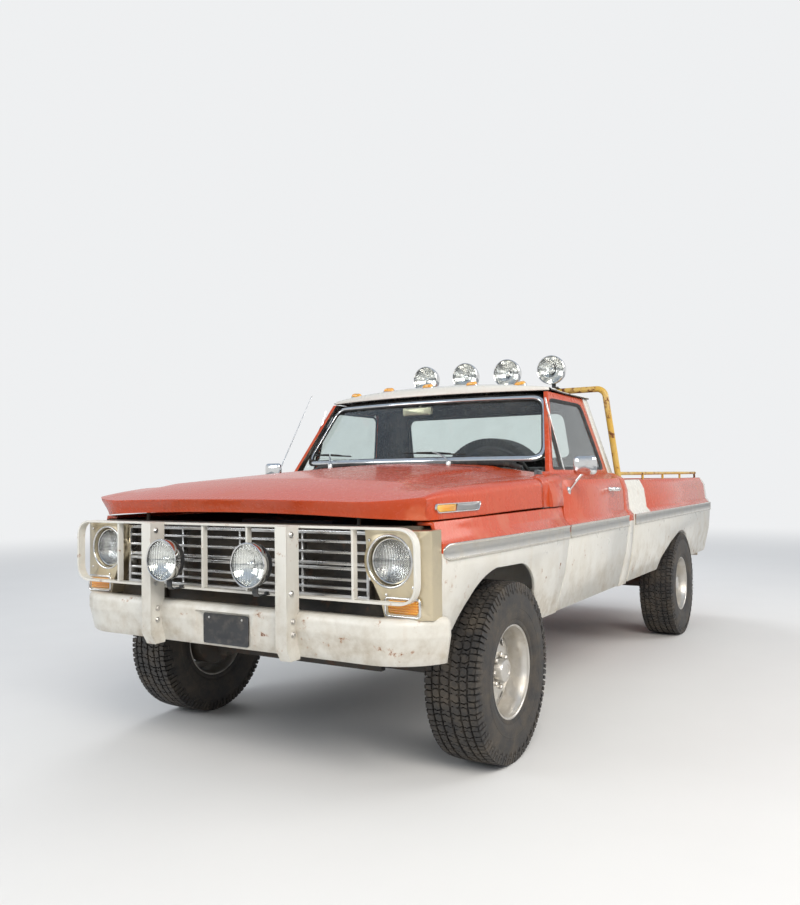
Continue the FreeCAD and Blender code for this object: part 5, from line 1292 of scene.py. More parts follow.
headliner = Form()
headliner.grid([[(x * 0.955, min(roof_front(x) + reach, 2.56) - MIDDLE, roof_height(x, rise) - 0.022) for x in columns]
                for reach, rise in ((0.050, 0.42), (0.10, 0.6), (0.30, 0.9), (0.50, 0.95), (0.66, 0.75), (0.76, 0.40))])
headliner.piece("headliner", headliner_board.material, "chassis", "black_plastic", smooth=60)

# Front bumper. A white pressed channel with a crease along its face, swept back at both
# ends, and a shallow recess that holds a plain black plate on two screws.


def facing_point(x, z, station):
    return (x, station - MIDDLE, z)


BUMPER_BEND = 0.294
BUMPER_FLAT = 0.720
bumper_path = []
for part in (1, -1):
    xs = (0.0, 0.060, 0.118, 0.130, 0.146, 0.160, 0.185, 0.300, 0.45, 0.60, BUMPER_FLAT)
    half_path = [(x, 0.0, 0.0) for x in (xs if part > 0 else [0.09, 0.112, 0.124, 0.140, 0.165] + list(xs[7:]))]
    for step in range(1, 25):
        turn = 1.190 * step / 24
        half_path.append((BUMPER_FLAT + BUMPER_BEND * math.sin(turn), BUMPER_BEND * (1 - math.cos(turn)), turn))
    half_path = [(part * x, s, part * turn) for x, s, turn in half_path]
    bumper_path = half_path[::-1] + bumper_path if part < 0 else bumper_path + half_path
BUMPER_FACE = ((0.0600, 0.5475), (0.0280, 0.5455), (0.0245, 0.5490), (0.0160, 0.5850), (0.0080, 0.6200),
               (0.0020, 0.6460),
               (0.0, 0.6530), (0.0005, 0.6600), (0.0, 0.6880), (0.0, 0.6960), (0.0035, 0.7080), (0.0105, 0.7170),
               (0.0210, 0.7215), (0.0600, 0.7235))
bumper_form = Form()
rows = []
for setback, z in BUMPER_FACE:
    row = []
    for x, s, turned in bumper_path:
        recess = 0.022 * (1 - climb(abs(x - 0.014), 0.134, 0.150)) * (1 - climb(z, 0.686, 0.697))
        deep = max(setback, recess + 0.003) if recess > 0.001 else setback
        row.append((x - math.sin(turned) * deep, s + math.cos(turned) * deep - MIDDLE, z))
    rows.append(row)
bumper_form.grid(rows)
bumper_piece = bumper_form.piece("bumper_channel", trim_white.material, "chassis", "white_paint", smooth=40,
                                 replaces=["front_bumper"])
shell = bumper_piece.modifiers.new("metal", "SOLIDIFY")
shell.thickness = 0.004
shell.offset = -1.0
stays = Form()
for side in (1, -1):
    stays.prism([(s - MIDDLE, z) for s, z in ((0.020, 0.580), (0.010, 0.664), (0.100, 0.670), (0.150, 0.640),
                                              (0.150, 0.590))],
                side * 0.362, side * 0.428)
stays.piece("bumper_stays", frame_black, "chassis", "black_frame", 0.002)
plate = Form()
plate_outline = rounded(((-0.112, 0.5560), (0.140, 0.5560), (0.140, 0.6830), (-0.112, 0.6830)), 0.010, 4)
plate.capped(drawn_in(plate_outline, (0.014, 0.6195), (
    (1.0, 0.0215), (1.0, 0.0190), (0.992, 0.0180), (0.970, 0.0184), (0.955, 0.0188), (0.02, 0.0188)), facing_point))
plate.piece("blank_plate", shell_black.material, "chassis", "black_plastic", smooth=40)

# Grille guard. White flat bar bent into a hoop with four upright straps, bolted to two
# channel posts that reach down over the bumper.

guard_form = Form()
hoop = rounded(((-0.937, 0.776), (0.937, 0.776), (0.937, 1.063), (-0.937, 1.063)), 0.085, 10)
ribbon(guard_form, [(x, 0.040 - MIDDLE, z) for x, z in hoop], (0, -1, 0),
       ((-0.010, -0.019), (-0.010, 0.019), (0.0, 0.019), (0.0, -0.019)))
for x in (-0.655, -0.125, 0.125, 0.655):
    guard_form.prism([(x - 0.0055, 0.026 - MIDDLE), (x + 0.0055, 0.026 - MIDDLE), (x + 0.0055, 0.054 - MIDDLE),
                      (x - 0.0055, 0.054 - MIDDLE)], 0.781, 1.058, "z")
    for z, lean in ((0.7865, 1), (1.0525, -1)):
        guard_form.prism([(0.026 - MIDDLE, z), (0.054 - MIDDLE, z), (0.046 - MIDDLE, z + lean * 0.006),
                          (0.034 - MIDDLE, z + lean * 0.006)], x - 0.010, x + 0.010)
front_plate = [(-0.030, 0.533), (-0.060, 0.585), (-0.060, 1.063), (-0.0535, 1.063), (-0.0535, 0.5875),
               (-0.0245, 0.5365)]
side_plate = [(-0.0575, 0.586), (-0.028, 0.535), (0.024, 0.535), (0.0268, 0.545), (0.0170, 0.585), (0.0085, 0.620),
              (0.0, 0.652), (0.0, 0.696), (0.0110, 0.7185), (0.0210, 0.7235), (0.0215, 1.063), (-0.0575, 1.063)]
for side in (1, -1):
    for outline, low, high in ((front_plate, 0.347, 0.403), (side_plate, 0.347, 0.3535), (side_plate, 0.3965, 0.403)):
        guard_form.prism([(s - MIDDLE, z) for s, z in outline], side * low, side * high)
guard_form.piece("guard_bars", trim_white.material, "chassis", "white_paint", 0.0016, replaces=["grille_guard"])
bolts = Form()
for side in (1, -1):
    for edge, way in ((0.403, 1), (0.347, -1)):
        for s, z in ((-0.020, 0.640), (-0.020, 0.690), (-0.030, 1.030), (-0.030, 0.800)):
            bolts.lathe([(side * (edge + way * out), radius) for out, radius in (
                (0.0, 0.0135), (0.002, 0.0130), (0.002, 0.0095), (0.008, 0.0093), (0.009, 0.0080), (0.009, 0.0002))],
                (0, s - MIDDLE, z), "x", 6)
    bolts.lathe([(0.0190 - MIDDLE, 0.0050), (0.0162 - MIDDLE, 0.0046), (0.0150 - MIDDLE, 0.0002)],
                (0.014 + side * 0.092, 0, 0.6660), "y", 12)
bolts.piece("guard_bolts", grille_metal, "chassis", "chrome_parts", smooth=30)

# Lamp surrounds. Stamped aluminium, satin with age, that carry the headlamps and turn
# signals and wrap round on to the fenders.

BEZEL_EDGE = ((0.678, 1.050), (0.694, 0.885), (0.747, 0.782), (0.766, 0.716), (0.958, 0.716), (0.958, 1.050))


def bezel_reach(turn):
    """Distance from the lamp's middle to the surround's edge in one direction."""
    ray = Vector((math.cos(turn), math.sin(turn)))
    best = 9.0
    for index, corner in enumerate(BEZEL_EDGE):
        first = Vector(corner) - Vector((HEADLAMP_X, HEADLAMP_Z))
        run = Vector(BEZEL_EDGE[(index + 1) % len(BEZEL_EDGE)]) - Vector(corner)
        scale = ray.x * run.y - ray.y * run.x
        if abs(scale) > 1e-9:
            distance = (first.x * run.y - first.y * run.x) / scale
            share = (first.x * ray.y - first.y * ray.x) / scale
            if distance > 0 and -1e-6 <= share <= 1 + 1e-6:
                best = min(best, distance)
    return best


turns = sorted(full_turn(120) + [
    math.atan2(z - HEADLAMP_Z, x - HEADLAMP_X) % (2 * math.pi) for x, z in BEZEL_EDGE])
for side, hand in ((1, "left"), (-1, "right")):
    surround = Form()
    rows = []
    for inner, out, deep in ((1, 0.0925, 0.040), (1, 0.0925, 0.006), (1, 0.0945, 0.0), (1, 0.104, -0.0005),
                             (1, 0.112, 0.0025),
                             (0, 0.90, 0.0025), (0, 0.985, 0.0010), (0, 0.996, 0.0030), (0, 1.0, 0.0075),
                             (0, 1.0, 0.030), (0, 1.0, 0.072)):
        row = []
        for turn in turns:
            edge = bezel_reach(turn)
            radius = out if inner else max(0.114, edge * out)
            x, z = HEADLAMP_X + radius * math.cos(turn), HEADLAMP_Z + radius * math.sin(turn)
            back = 0.030 * climb(x, 0.905, 0.958) ** 1.4
            far = 0.104 if x > 0.94 and deep > 0.05 else deep
            row.append((side * x, 0.078 + (far if far > deep else deep + (back if not inner else 0.0)) - MIDDLE, z))
        rows.append(row)
    surround.grid(rows, True)
    surround.piece("lamp_surround_" + hand, bezel_metal, "chassis", "chrome_parts", smooth=38,
                   replaces=["lamp_bezels"] if side > 0 else ())

# Marker and signal lamps. Moulded amber and red lenses, ribbed inside, in thin bright
# frames: turn signals in the surrounds, five on the roof, one on each side of the hood.


def moulded_lens(name, tint, rib_glint_tint, ribs, axis="x"):
    finish = Finish(name)
    waves = finish.node("ShaderNodeMath", {"operation": "SINE"}, {0: finish.axis(axis) * ribs})
    grime = finish.cloud(22.0, 5.0).between(0.45, 0.85)
    # Painted glints: the ribs' stripes are mixed towards a paler tint, as light caught in the lens would look. The
    # grime patches are mixed a little towards the same tint.
    colour = finish.mix(waves.between(-0.9, 0.9) * 0.45 + grime * 0.2, tint, rib_glint_tint)
    return finish.surface(Base_Color=colour, Roughness=grime * 0.25 + 0.10, Normal=finish.bump(waves, 0.0010),
                          Coat_Weight=0.8, Subsurface_Weight=0.25)


amber_lens = moulded_lens("amber_lens", (0.74, 0.24, 0.010), (0.95, 0.47, 0.045), ribs=620.0, axis="z")
marker_amber = moulded_lens("marker_amber", (0.78, 0.33, 0.020), (0.95, 0.56, 0.10), ribs=700.0)
red_lens = moulded_lens("red_lens", (0.42, 0.012, 0.010), (0.66, 0.045, 0.030), ribs=520.0, axis="z")
pale_lens = moulded_lens("pale_lens", (0.62, 0.60, 0.55), (0.80, 0.78, 0.74), ribs=520.0, axis="z")


def middle_of(outline):
    return tuple(sum(values) / len(outline) for values in zip(*outline))


def facing_lens(form, outline, front, rear, crown, kind=0):
    """A lens over an outline of x and z, between two stations, its face gently crowned."""
    form.capped(drawn_in(outline, middle_of(outline), (
        (1.0, rear), (1.0, front + crown), (0.975, front + crown * 0.45), (0.90, front + crown * 0.18),
        (0.5, front + crown * 0.04), (0.04, front)), facing_point), kind)


RIM_PROFILE = ((-0.0045, -0.001), (-0.0045, 0.003), (-0.002, 0.0055), (0.002, 0.0055), (0.0045, 0.003),
               (0.0045, -0.001))
bezel_trim = Form()
for side, hand in ((1, "left"), (-1, "right")):
    shape = rounded(((0.7785, 0.7350), (0.9115, 0.7350), (0.9115, 0.7870), (0.7785, 0.7870)), 0.012, 4)
    shape = [(side * x, z) for x, z in shape]
    signal = Form()
    facing_lens(signal, shape, 0.0765, 0.0980, 0.008)
    signal.piece("turn_signal_" + hand, amber_lens, "chassis", "amber_lens", smooth=50,
                 replaces=["signal_lamps"] if side > 0 else ())
    loop = rounded(((0.7700, 0.7270), (0.9200, 0.7270), (0.9200, 0.7950), (0.7700, 0.7950)), 0.014, 4)
    loop = [(side * x, 0.0790 - MIDDLE, z) for x, z in (loop if side > 0 else loop[::-1])]
    ribbon(bezel_trim, loop, (0, -1, 0), RIM_PROFILE)
    ring = [(side * HEADLAMP_X + 0.0985 * math.cos(turn), 0.0790 - MIDDLE, HEADLAMP_Z + 0.0985 * math.sin(turn))
            for turn in full_turn(72)]
    ribbon(bezel_trim, ring, (0, -1, 0), RIM_PROFILE)
    for x, z in ((0.700, 1.010), (0.700, 0.860), (0.893, 1.020), (0.893, 0.838), (0.775, 0.805)):
        bezel_trim.lathe([(0.0785 - MIDDLE, 0.0062), (0.0762 - MIDDLE, 0.0056), (0.0750 - MIDDLE, 0.0030),
                          (0.0748 - MIDDLE, 0.0002)],
                         (side * x, 0, z), "y", 14)
bezel_trim.piece("bezel_trim", chrome, "chassis", "chrome_parts", smooth=50)

markers = Form()
marker_feet = Form()
for x, station, foot in ((-0.575, 1.897, 1.780), (-0.290, 1.840, 1.793), (0.0, 1.823, 1.7965), (0.290, 1.840, 1.793),
                         (0.575, 1.897, 1.780)):
    lean = Matrix.Translation((x, station - MIDDLE, foot)) @ Matrix.Rotation(-0.11 * x / 0.575, 4, "Y")
    lean = lean @ Matrix.Rotation(math.radians(20), 4, "X")
    dome = Form()
    ring = rounded(((-0.034, -0.022), (0.034, -0.022), (0.034, 0.022), (-0.034, 0.022)), 0.016, 5)
    rows = [[(px * size, py * size - shift, z) for px, py in ring] for size, z, shift in (
        (0.94, -0.018, 0.0), (0.94, 0.002, 0.0), (0.90, 0.010, 0.0002), (0.78, 0.0165, 0.0006), (0.55, 0.0195, 0.001),
        (0.20, 0.0205, 0.001))]
    dome.capped(rows)
    markers.join(dome.moved(lean))
    foot_ring = Form()
    rows = [[(px * size, py * size, z) for px, py in ring] for size, z in (
        (1.04, -0.018), (1.04, 0.001), (1.01, 0.0042), (0.95, 0.0046))]
    foot_ring.grid(rows, True)
    marker_feet.join(foot_ring.moved(lean))
markers.piece("roof_markers", marker_amber, "chassis", "amber_lens", smooth=60)
marker_feet.piece("roof_marker_feet", chrome, "chassis", "chrome_parts", smooth=50)

for side, hand in ((1, "left"), (-1, "right")):
    shape = rounded(((0.860, 0.932), (0.920, 0.932), (0.920, 1.148), (0.860, 1.148)), 0.014, 4)
    frame_loop = [(side * x, 5.2340 - MIDDLE, z) for x, z in (shape[::-1] if side > 0 else shape)]
    tail_frame = Form()
    ribbon(tail_frame, frame_loop, (0, 1, 0), ((-0.004, -0.001), (-0.004, 0.010), (-0.001, 0.0135), (0.0015, 0.012),
                                               (0.002, -0.001)))
    tail_frame.piece("tail_frame_" + hand, chrome, "chassis", "chrome_parts", smooth=50)
    tail = Form()
    for low, high, kind in ((0.935, 0.985, 1), (0.987, 1.145, 0)):
        part = rounded(((0.864, low), (0.916, low), (0.916, high), (0.864, high)), 0.010, 4)
        tail.capped(drawn_in(part, (0.890, (low + high) / 2), (
            (1.0, 5.2335), (1.0, 5.2420), (0.95, 5.2455), (0.70, 5.2480), (0.05, 5.2488)),
            lambda x, z, s: (side * x, s - MIDDLE, z)), kind)
    tail.piece("tail_lens_" + hand, [red_lens, pale_lens], "chassis", "amber_lens", smooth=50)


def hood_side(station):
    """Half width of the hood at the height of its markers."""
    return hood_row(station)[0] - 0.0005


marker_plate = bright_finish("marker_plate", (0.36, 0.36, 0.36), haze=0.38, pits=0.4, dusty=0.3)
for side, hand in ((1, "left"), (-1, "right")):
    outline = rounded(((0.204, 1.126), (0.222, 1.110), (0.556, 1.110), (0.574, 1.134), (0.570, 1.144), (0.210, 1.144)),
                      (0.008, 0.006, 0.008, 0.004, 0.004, 0.006), 4, 0.04)
    if side < 0:
        outline = outline[::-1]
    frame_form = Form()
    ribbon(frame_form, [(side * hood_side(s), s - MIDDLE, z) for s, z in outline], (side, 0, 0.04),
           ((-0.0042, -0.002), (-0.0042, 0.003), (-0.002, 0.0055), (0.001, 0.0050), (0.0028, -0.002)))
    frame_form.piece("hood_marker_frame_" + hand, chrome, "hood", "chrome_parts", smooth=50)
    faces = Form()
    for corners, out, kind in ((((0.212, 1.1265), (0.226, 1.1145), (0.352, 1.1145), (0.362, 1.1400), (0.216, 1.1400)),
                                0.0046, 0),
                               (((0.364, 1.1140), (0.553, 1.1140), (0.568, 1.1340), (0.566, 1.1400), (0.372, 1.1400)),
                                0.0026, 1)):
        flat = rounded(corners, 0.004, 3)
        faces.capped(drawn_in(flat, middle_of(flat), (
            (1.0, -0.001), (1.0, out * 0.7), (0.96, out), (0.05, out + 0.0004)),
            lambda s, z, lift: (side * (hood_side(s) + lift), s - MIDDLE, z)), kind)
    faces.piece("hood_marker_" + hand, [marker_amber, marker_plate], "hood", "amber_lens", smooth=50)

# Dashboard panel. Pressed steel under black vinyl, screwed to the cowl. The same grained
# black goes on the column, the fittings and the steering wheel's rim.

black_vinyl = Finish("black_vinyl")
grain = black_vinyl.cells(520.0)
black_vinyl.surface(Base_Color=black_vinyl.mix(black_vinyl.cloud(8.0).between(0.3, 0.8), CAB_BLACK,
                                               (0.040, 0.037, 0.034)),
                    Roughness=black_vinyl.cloud(12.0) * 0.2 + 0.42, Normal=black_vinyl.bump(grain, 0.0004))
dress("dashboard", black_vinyl.material, 0.006)

# Bench seat. Foam over a sprung frame under dark vinyl, sewn in pleats: a wide cushion and
# a backrest that leans on the cab's rear wall. The blocks are blown up as cloth.

seat_vinyl = Finish("seat_vinyl")
creases = seat_vinyl.cloud(14.0, 4.0, 0.6, 2.0, (1, 2.2, 1))
seat_vinyl.surface(Base_Color=seat_vinyl.mix(seat_vinyl.cloud(5.0, 4.0).between(0.35, 0.75), (0.030, 0.026, 0.023),
                                             (0.062, 0.054, 0.046)),
                   Roughness=seat_vinyl.cloud(9.0) * 0.22 + 0.40,
                   Normal=seat_vinyl.bump(creases * 0.6 + seat_vinyl.cells(480.0) * 0.12, 0.0025))


def blown_up(outline, half, pressure, most):
    """A block drawn along x, eased, remeshed and blown up as cloth; no point moves further than most."""
    block = Form()
    block.prism([(s - MIDDLE, z) for s, z in outline], -half, half)
    mesh = bpy.data.meshes.new("block")
    mesh.from_pydata(block.points, [], block.faces)
    work = bpy.data.objects.new("block", mesh)
    scene.collection.objects.link(work)
    ease = work.modifiers.new("ease", "BEVEL")
    ease.width = 0.032
    ease.segments = 3
    remesh = work.modifiers.new("remesh", "REMESH")
    remesh.mode = "VOXEL"
    remesh.voxel_size = 0.018
    work.data = bpy.data.meshes.new_from_object(work.evaluated_get(bpy.context.evaluated_depsgraph_get()))
    work.modifiers.clear()
    start = [point.co.copy() for point in work.data.vertices]
    cloth = work.modifiers.new("cloth", "CLOTH")
    cloth.settings.use_pressure = True
    cloth.settings.uniform_pressure_force = pressure
    cloth.settings.effector_weights.gravity = 0.0
    for index in range(1, 21):
        scene.frame_set(index)
    moved = work.evaluated_get(bpy.context.evaluated_depsgraph_get()).data
    places = [point.co.copy() for point in moved.vertices]
    scene.frame_set(1)
    work.modifiers.clear()
    for point, old, new in zip(work.data.vertices, start, places):
        shift = new - old
        point.co = old + shift * min(1.0, most / max(shift.length, 1e-6))
    finer = work.modifiers.new("finer", "SUBSURF")
    finer.levels = 1
    made = bpy.data.meshes.new_from_object(work.evaluated_get(bpy.context.evaluated_depsgraph_get()))
    bpy.data.objects.remove(work)
    return made


PLEAT = 0.088
SEAT_HALF = 0.728
bench = Form()
for outline, facing, reach in (
        (((1.974, 0.862), (2.418, 0.862), (2.418, 0.972), (1.974, 0.992)), Vector((0, 0, 1)), (1.990, 2.350)),
        (((2.444, 0.920), (2.558, 0.920), (2.636, 1.322), (2.540, 1.322)), Vector((0, -1, 0.2)).normalized(),
         (0.96, 1.29))):
    made = blown_up(outline, SEAT_HALF, pressure=4.0, most=0.016)
    points = []
    for point in made.vertices:
        place = point.co.copy()
        along = place.y + MIDDLE if facing.z > 0.9 else place.z
        pleat = abs((place.x / PLEAT) % 1.0 - 0.5) * 2
        groove = climb(pleat, 0.62, 1.0) * climb(point.normal.dot(facing), 0.45, 0.85)
        within = climb(along, reach[0], reach[0] + 0.03) * (1 - climb(along, reach[1], reach[1] + 0.02))
        groove *= within * climb(0.70 - abs(place.x), 0.0, 0.03)
        hem = math.exp(-((along - reach[1] - 0.012) / 0.008) ** 2) * climb(point.normal.dot(facing), 0.45, 0.85)
        points.append(place - point.normal * (groove * 0.009 + hem * 0.006))
    bench.add(points, [tuple(face.vertices) for face in made.polygons])
bench_piece = bench.piece("bench_cushions", seat_vinyl.material, "chassis", "seat_cover", smooth=180,
                          replaces=["bench_seat"])
seat_frame = Form()
for side in (1, -1):
    seat_frame.prism([(s - MIDDLE, z) for s, z in ((1.985, 0.850), (2.420, 0.850), (2.600, 1.290), (2.612, 1.286),
                                                   (2.436, 0.835), (1.985, 0.835))],
                     side * 0.700, side * 0.712)
seat_frame.block((-0.712, 1.985 - MIDDLE, 0.838), (0.712, 2.420 - MIDDLE, 0.850))
seat_frame.piece("seat_frame", frame_black, "chassis", "black_frame", 0.002)

# Steering wheel and column. A hard rubber rim with finger grips on three pressed spokes, a
# horn button in the middle, and a tube that carries the lever for the signals.

WHEEL_LEAN = Matrix.Translation((0.400, 1.950 - MIDDLE, 1.238)) @ Matrix.Rotation(math.radians(-58), 4, "X")
HAND_RIM = 0.205  # radius of the rim's middle
turned = Form()
rows = []
for step, turn in enumerate(full_turn(108)):
    thick = 0.0122 + 0.0009 * math.cos(step * 2 * math.pi / 3)
    rows.append([((HAND_RIM + thick * math.cos(a)) * math.cos(turn), (HAND_RIM + thick * math.cos(a)) * math.sin(turn),
                  thick * math.sin(a))
                 for a in full_turn(12)])
rows.append(rows[0])
turned.grid(rows, True)
for angle in (90, 210, 330):
    turn = math.radians(angle)
    spoke = Form()
    spoke.prism([(0.030, -0.019), (0.110, -0.013), (0.200, -0.010), (0.200, 0.010), (0.110, 0.013), (0.030, 0.019)],
                -0.0100, -0.0045, "z")
    spoke.rod([(0.034, 0, -0.004), (0.115, 0, -0.002), (0.203, 0, 0.0)], (0.0085, 0.0065, 0.0075), 8)
    turned.join(spoke.moved(Matrix.Rotation(turn, 4, "Z")))
turned.lathe([(-0.050, 0.0230), (-0.020, 0.0250), (-0.012, 0.0360), (0.004, 0.0370), (0.010, 0.0350), (0.012, 0.0300),
              (0.012, 0.0290), (0.015, 0.0280), (0.019, 0.0200), (0.020, 0.0002)], (0, 0, 0), "z", 32)
turned.moved(WHEEL_LEAN).piece("steering_rim", black_vinyl.material, "steering_wheel", "black_plastic", smooth=45,
                               replaces=["steering_wheel"])
column = Form()
column.lathe([(-0.052, 0.0002), (-0.052, 0.0270), (-0.060, 0.0310), (-0.130, 0.0310), (-0.140, 0.0240),
              (-0.400, 0.0240)], (0, 0, 0), "z", 24)
column.rod([(0.028, 0, -0.095), (0.105, 0.0, -0.080), (0.150, 0.0, -0.074)], (0.0035, 0.0035, 0.0075), 8)
column.rod([(-0.028, 0, -0.095), (-0.120, 0.01, -0.070), (-0.170, 0.012, -0.058)], (0.0045, 0.0045, 0.0085), 8)
column.moved(WHEEL_LEAN).piece("steering_column", black_vinyl.material, "chassis", "black_plastic", smooth=40)

# Dashboard fittings. A moulded panel with a hooded instrument pod, round dials behind a
# plain face, a radio with two knobs, air vents, and a glovebox lid with a push latch.

DASH_REAR = 1.610
dash_dark = Form()
dash_bright = Form()
for low_x, high_x, low_z, high_z, deep in ((0.185, 0.615, 1.080, 1.208, 0.020), (-0.640, -0.260, 1.078, 1.168, 0.006),
                                           (-0.170, 0.020, 1.085, 1.140, 0.010), (-0.170, 0.020, 1.155, 1.200, 0.008)):
    middle = ((low_x + high_x) / 2, (low_z + high_z) / 2)
    loop = rounded(((low_x, low_z), (high_x, low_z), (high_x, high_z), (low_x, high_z)), 0.014, 4)
    dash_dark.capped(drawn_in(loop, middle, (
        (1.0, -0.002), (1.0, deep), (0.98, deep + 0.003), (0.93, deep + 0.003), (0.92, deep - 0.001)),
        lambda x, z, out: (x, DASH_REAR + out - MIDDLE, z)))
pod = [(1.605, 1.205), (1.640, 1.214), (1.668, 1.216), (1.670, 1.220), (1.655, 1.2245), (1.500, 1.2248), (1.500, 1.205)]
dash_dark.prism([(s - MIDDLE, z) for s, z in pod], 0.175, 0.625)
for x, radius in ((0.290, 0.044), (0.400, 0.048), (0.510, 0.044)):
    z = 1.142
    ring = [(x + radius * math.cos(turn), DASH_REAR + 0.021 - MIDDLE, z + radius * math.sin(turn))
            for turn in full_turn(48)]
    ribbon(dash_bright, ring, (0, 1, 0), ((-0.003, -0.002), (-0.003, 0.004), (0.0, 0.006), (0.002, 0.003),
                                          (0.002, -0.002)))
    dash_bright.rod([(x, DASH_REAR + 0.022 - MIDDLE, z),
                     (x - radius * 0.55, DASH_REAR + 0.022 - MIDDLE, z - radius * 0.35)], (0.003, 0.0008), 6)
    for step in range(9):
        turn = math.radians(215 - step * 31)
        start, end = (Vector((x + math.cos(turn) * radius * share, DASH_REAR + 0.0205 - MIDDLE,
                              z + math.sin(turn) * radius * share))
                      for share in (0.72, 0.88))
        dash_bright.rod([start, end], 0.0012, 4)
for x, z, radius in ((-0.150, 1.112, 0.011), (0.000, 1.112, 0.011), (-0.135, 1.178, 0.009), (-0.075, 1.178, 0.009),
                     (-0.015, 1.178, 0.009), (0.100, 1.110, 0.010), (0.100, 1.160, 0.010), (-0.450, 1.150, 0.011)):
    dash_bright.lathe([(DASH_REAR - MIDDLE, radius), (DASH_REAR + 0.020 - MIDDLE, radius),
                       (DASH_REAR + 0.025 - MIDDLE, radius * 0.85),
                       (DASH_REAR + 0.026 - MIDDLE, 0.0002)], (x, 0, z), "y", 18)
for x in (-0.735, 0.705):
    for step in range(6):
        z = 1.120 + step * 0.013
        dash_dark.prism([(DASH_REAR - 0.002 - MIDDLE, z), (DASH_REAR + 0.010 - MIDDLE, z - 0.004),
                         (DASH_REAR + 0.011 - MIDDLE, z - 0.002),
                         (DASH_REAR - MIDDLE, z + 0.003)], x - 0.045, x + 0.045)
dash_dark.piece("dash_fittings", black_vinyl.material, "chassis", "black_plastic", smooth=40)
dash_bright.piece("dash_trim", chrome, "chassis", "chrome_parts", smooth=45)

# Cab fittings. A day mirror on a stem, two padded-board sun visors on pivots, and the
# pedals and floor lever that stand on the toe board.

cab_fittings = Form()
mirror_body = Form()
head = rounded(((-0.100, -0.026), (0.100, -0.026), (0.104, 0.026), (-0.104, 0.026)), 0.012, 4)
rows = [[(-0.060 + x * size, 1.800 + out - MIDDLE, 1.648 + z * size) for x, z in head]
        for size, out in ((0.80, -0.016), (0.96, -0.012), (1.0, 0.0), (1.0, 0.006), (0.97, 0.008))]
mirror_body.grid(rows, True)
mirror_body.add(rows[0], [tuple(range(len(head)))])
mirror_body.rod([(-0.060, 1.790 - MIDDLE, 1.655), (-0.030, 1.800 - MIDDLE, 1.690), (0.0, 1.830 - MIDDLE, 1.722)],
                0.006, 8)
mirror_body.piece("cab_mirror", bezel_metal, "chassis", "chrome_parts", smooth=45)
for side in (1, -1):
    board = rounded(((side * 0.150, 1.842), (side * 0.560, 1.858), (side * 0.552, 1.985), (side * 0.158, 1.978)),
                    0.030, 4)
    rows = [[(x + (side * 0.355 - x) * inset, s + (1.915 - s) * inset - MIDDLE, 1.701 + lift - (s - 1.85) * 0.02)
             for x, s in board]
            for inset, lift in ((0.03, -0.009), (0.0, -0.006), (0.0, 0.002), (0.03, 0.005))]
    cab_fittings.grid(rows, True)
    cab_fittings.add(rows[0], [tuple(range(len(board)))])
    cab_fittings.add(rows[-1], [tuple(range(len(board)))])
    cab_fittings.rod([(side * 0.140, 1.850 - MIDDLE, 1.699), (side * 0.585, 1.862 - MIDDLE, 1.699)], 0.006, 8)
for x, wide in ((0.300, 0.030), (0.430, 0.050), (0.560, 0.050)):
    cab_fittings.rod([(x, 1.500 - MIDDLE, 1.050), (x, 1.520 - MIDDLE, 0.900), (x, 1.560 - MIDDLE, 0.800)], 0.008, 8)
    cab_fittings.prism([(1.566 - MIDDLE, 0.760), (1.578 - MIDDLE, 0.764), (1.558 - MIDDLE, 0.842),
                        (1.546 - MIDDLE, 0.838)], x - wide, x + wide)
cab_fittings.rod([(0.060, 1.720 - MIDDLE, 0.634), (0.060, 1.730 - MIDDLE, 0.760), (0.080, 1.800 - MIDDLE, 1.000)],
                 0.008, 10)
cab_fittings.lathe([(0.985, 0.0100), (1.000, 0.0200), (1.018, 0.0240), (1.034, 0.0180), (1.042, 0.0002)],
                   (0.080, 1.806 - MIDDLE, 0), "z", 20)
cab_fittings.lathe([(0.633, 0.075), (0.650, 0.060), (0.700, 0.030), (0.735, 0.012)], (0.060, 1.722 - MIDDLE, 0), "z",
                   20)
cab_fittings.piece("cab_fittings", black_vinyl.material, "chassis", "black_plastic", 0.001, 45)
mirror_face = Form()
rows = [[(-0.060 + x * size, 1.8084 - MIDDLE, 1.648 + z * size) for x, z in head] for size in (0.94, 0.02)]
mirror_face.grid(rows, True)
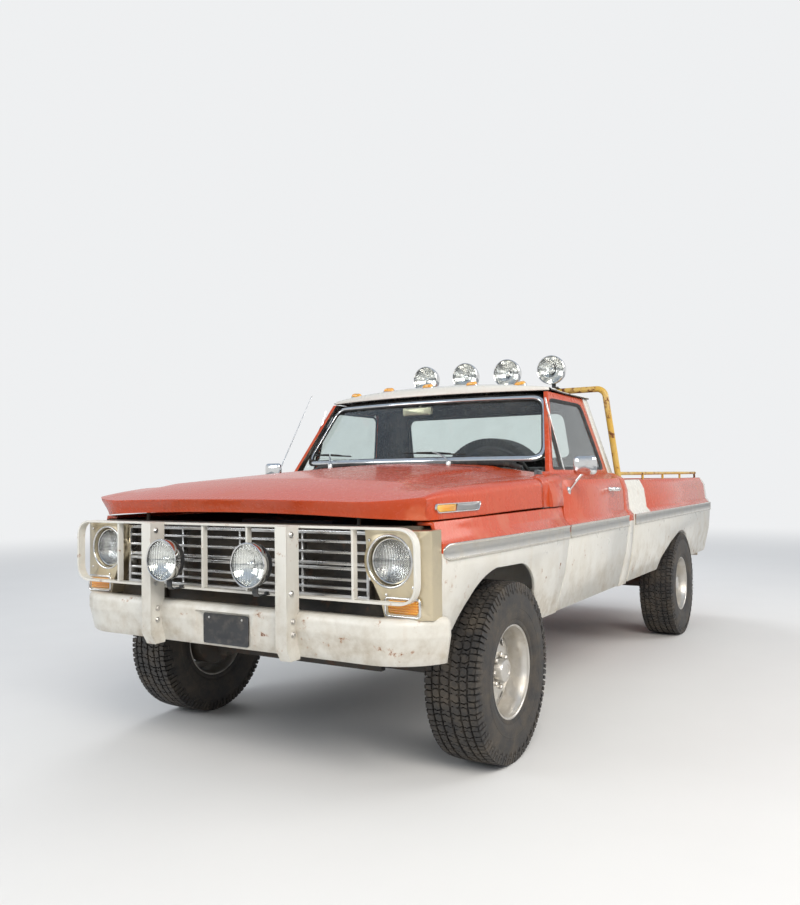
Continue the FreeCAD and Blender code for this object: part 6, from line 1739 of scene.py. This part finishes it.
mirror_face.piece("cab_mirror_glass", mirror_glass.material, "chassis", "chrome_parts")

# Door cards. Vinyl over board, pressed with a welt, clipped to the door's inner panel, with a
# window crank, a pull handle and a moulded armrest.

for side, hand in ((1, "left"), (-1, "right")):
    card = Form()
    loop = rounded(((1.630, 0.700), (2.490, 0.700), (2.490, 1.132), (1.630, 1.132)), 0.030, 4)
    rows = [[(side * (0.9045 - out), 2.060 + (s - 2.060) * size - MIDDLE, 0.916 + (z - 0.916) * tall) for s, z in loop]
            for size, tall, out in ((1.0, 1.0, -0.0005), (0.998, 0.996, 0.006), (0.975, 0.95, 0.008),
                                    (0.965, 0.930, 0.0045), (0.955, 0.910, 0.008), (0.02, 0.02, 0.010))]
    card.capped(rows)
    rest = rounded(((1.980, 0.868), (2.340, 0.868), (2.340, 0.930), (1.980, 0.915)), 0.020, 4)
    card.capped(drawn_in(rest, (2.160, 0.898), ((1.0, 0.0), (1.0, 0.030), (0.93, 0.042), (0.70, 0.048), (0.05, 0.049)),
                         lambda s, z, out: (side * (0.900 - out), s - MIDDLE, z)))
    card.piece("door_card_" + hand, seat_vinyl.material, "door_" + hand, "seat_cover", smooth=50)
    crank = Form()
    crank.lathe([(side * 0.898, 0.020), (side * 0.884, 0.017), (side * 0.880, 0.0002)], (0, 1.830 - MIDDLE, 0.870),
                "x", 18)
    crank.rod([(side * 0.884, 1.830 - MIDDLE, 0.870), (side * 0.878, 1.880 - MIDDLE, 0.846),
               (side * 0.876, 1.925 - MIDDLE, 0.826)], 0.0060, 8)
    crank.rod([(side * 0.880, 1.925 - MIDDLE, 0.826), (side * 0.850, 1.925 - MIDDLE, 0.826)], (0.011, 0.009), 12)
    crank.rod([(side * 0.898, 2.020 - MIDDLE, 1.030), (side * 0.872, 2.024 - MIDDLE, 1.030),
               (side * 0.868, 2.060 - MIDDLE, 1.032),
               (side * 0.872, 2.105 - MIDDLE, 1.034)], (0.012, 0.009, 0.007, 0.006), 10)
    crank.piece("door_crank_" + hand, chrome, "door_" + hand, "chrome_parts", smooth=50)
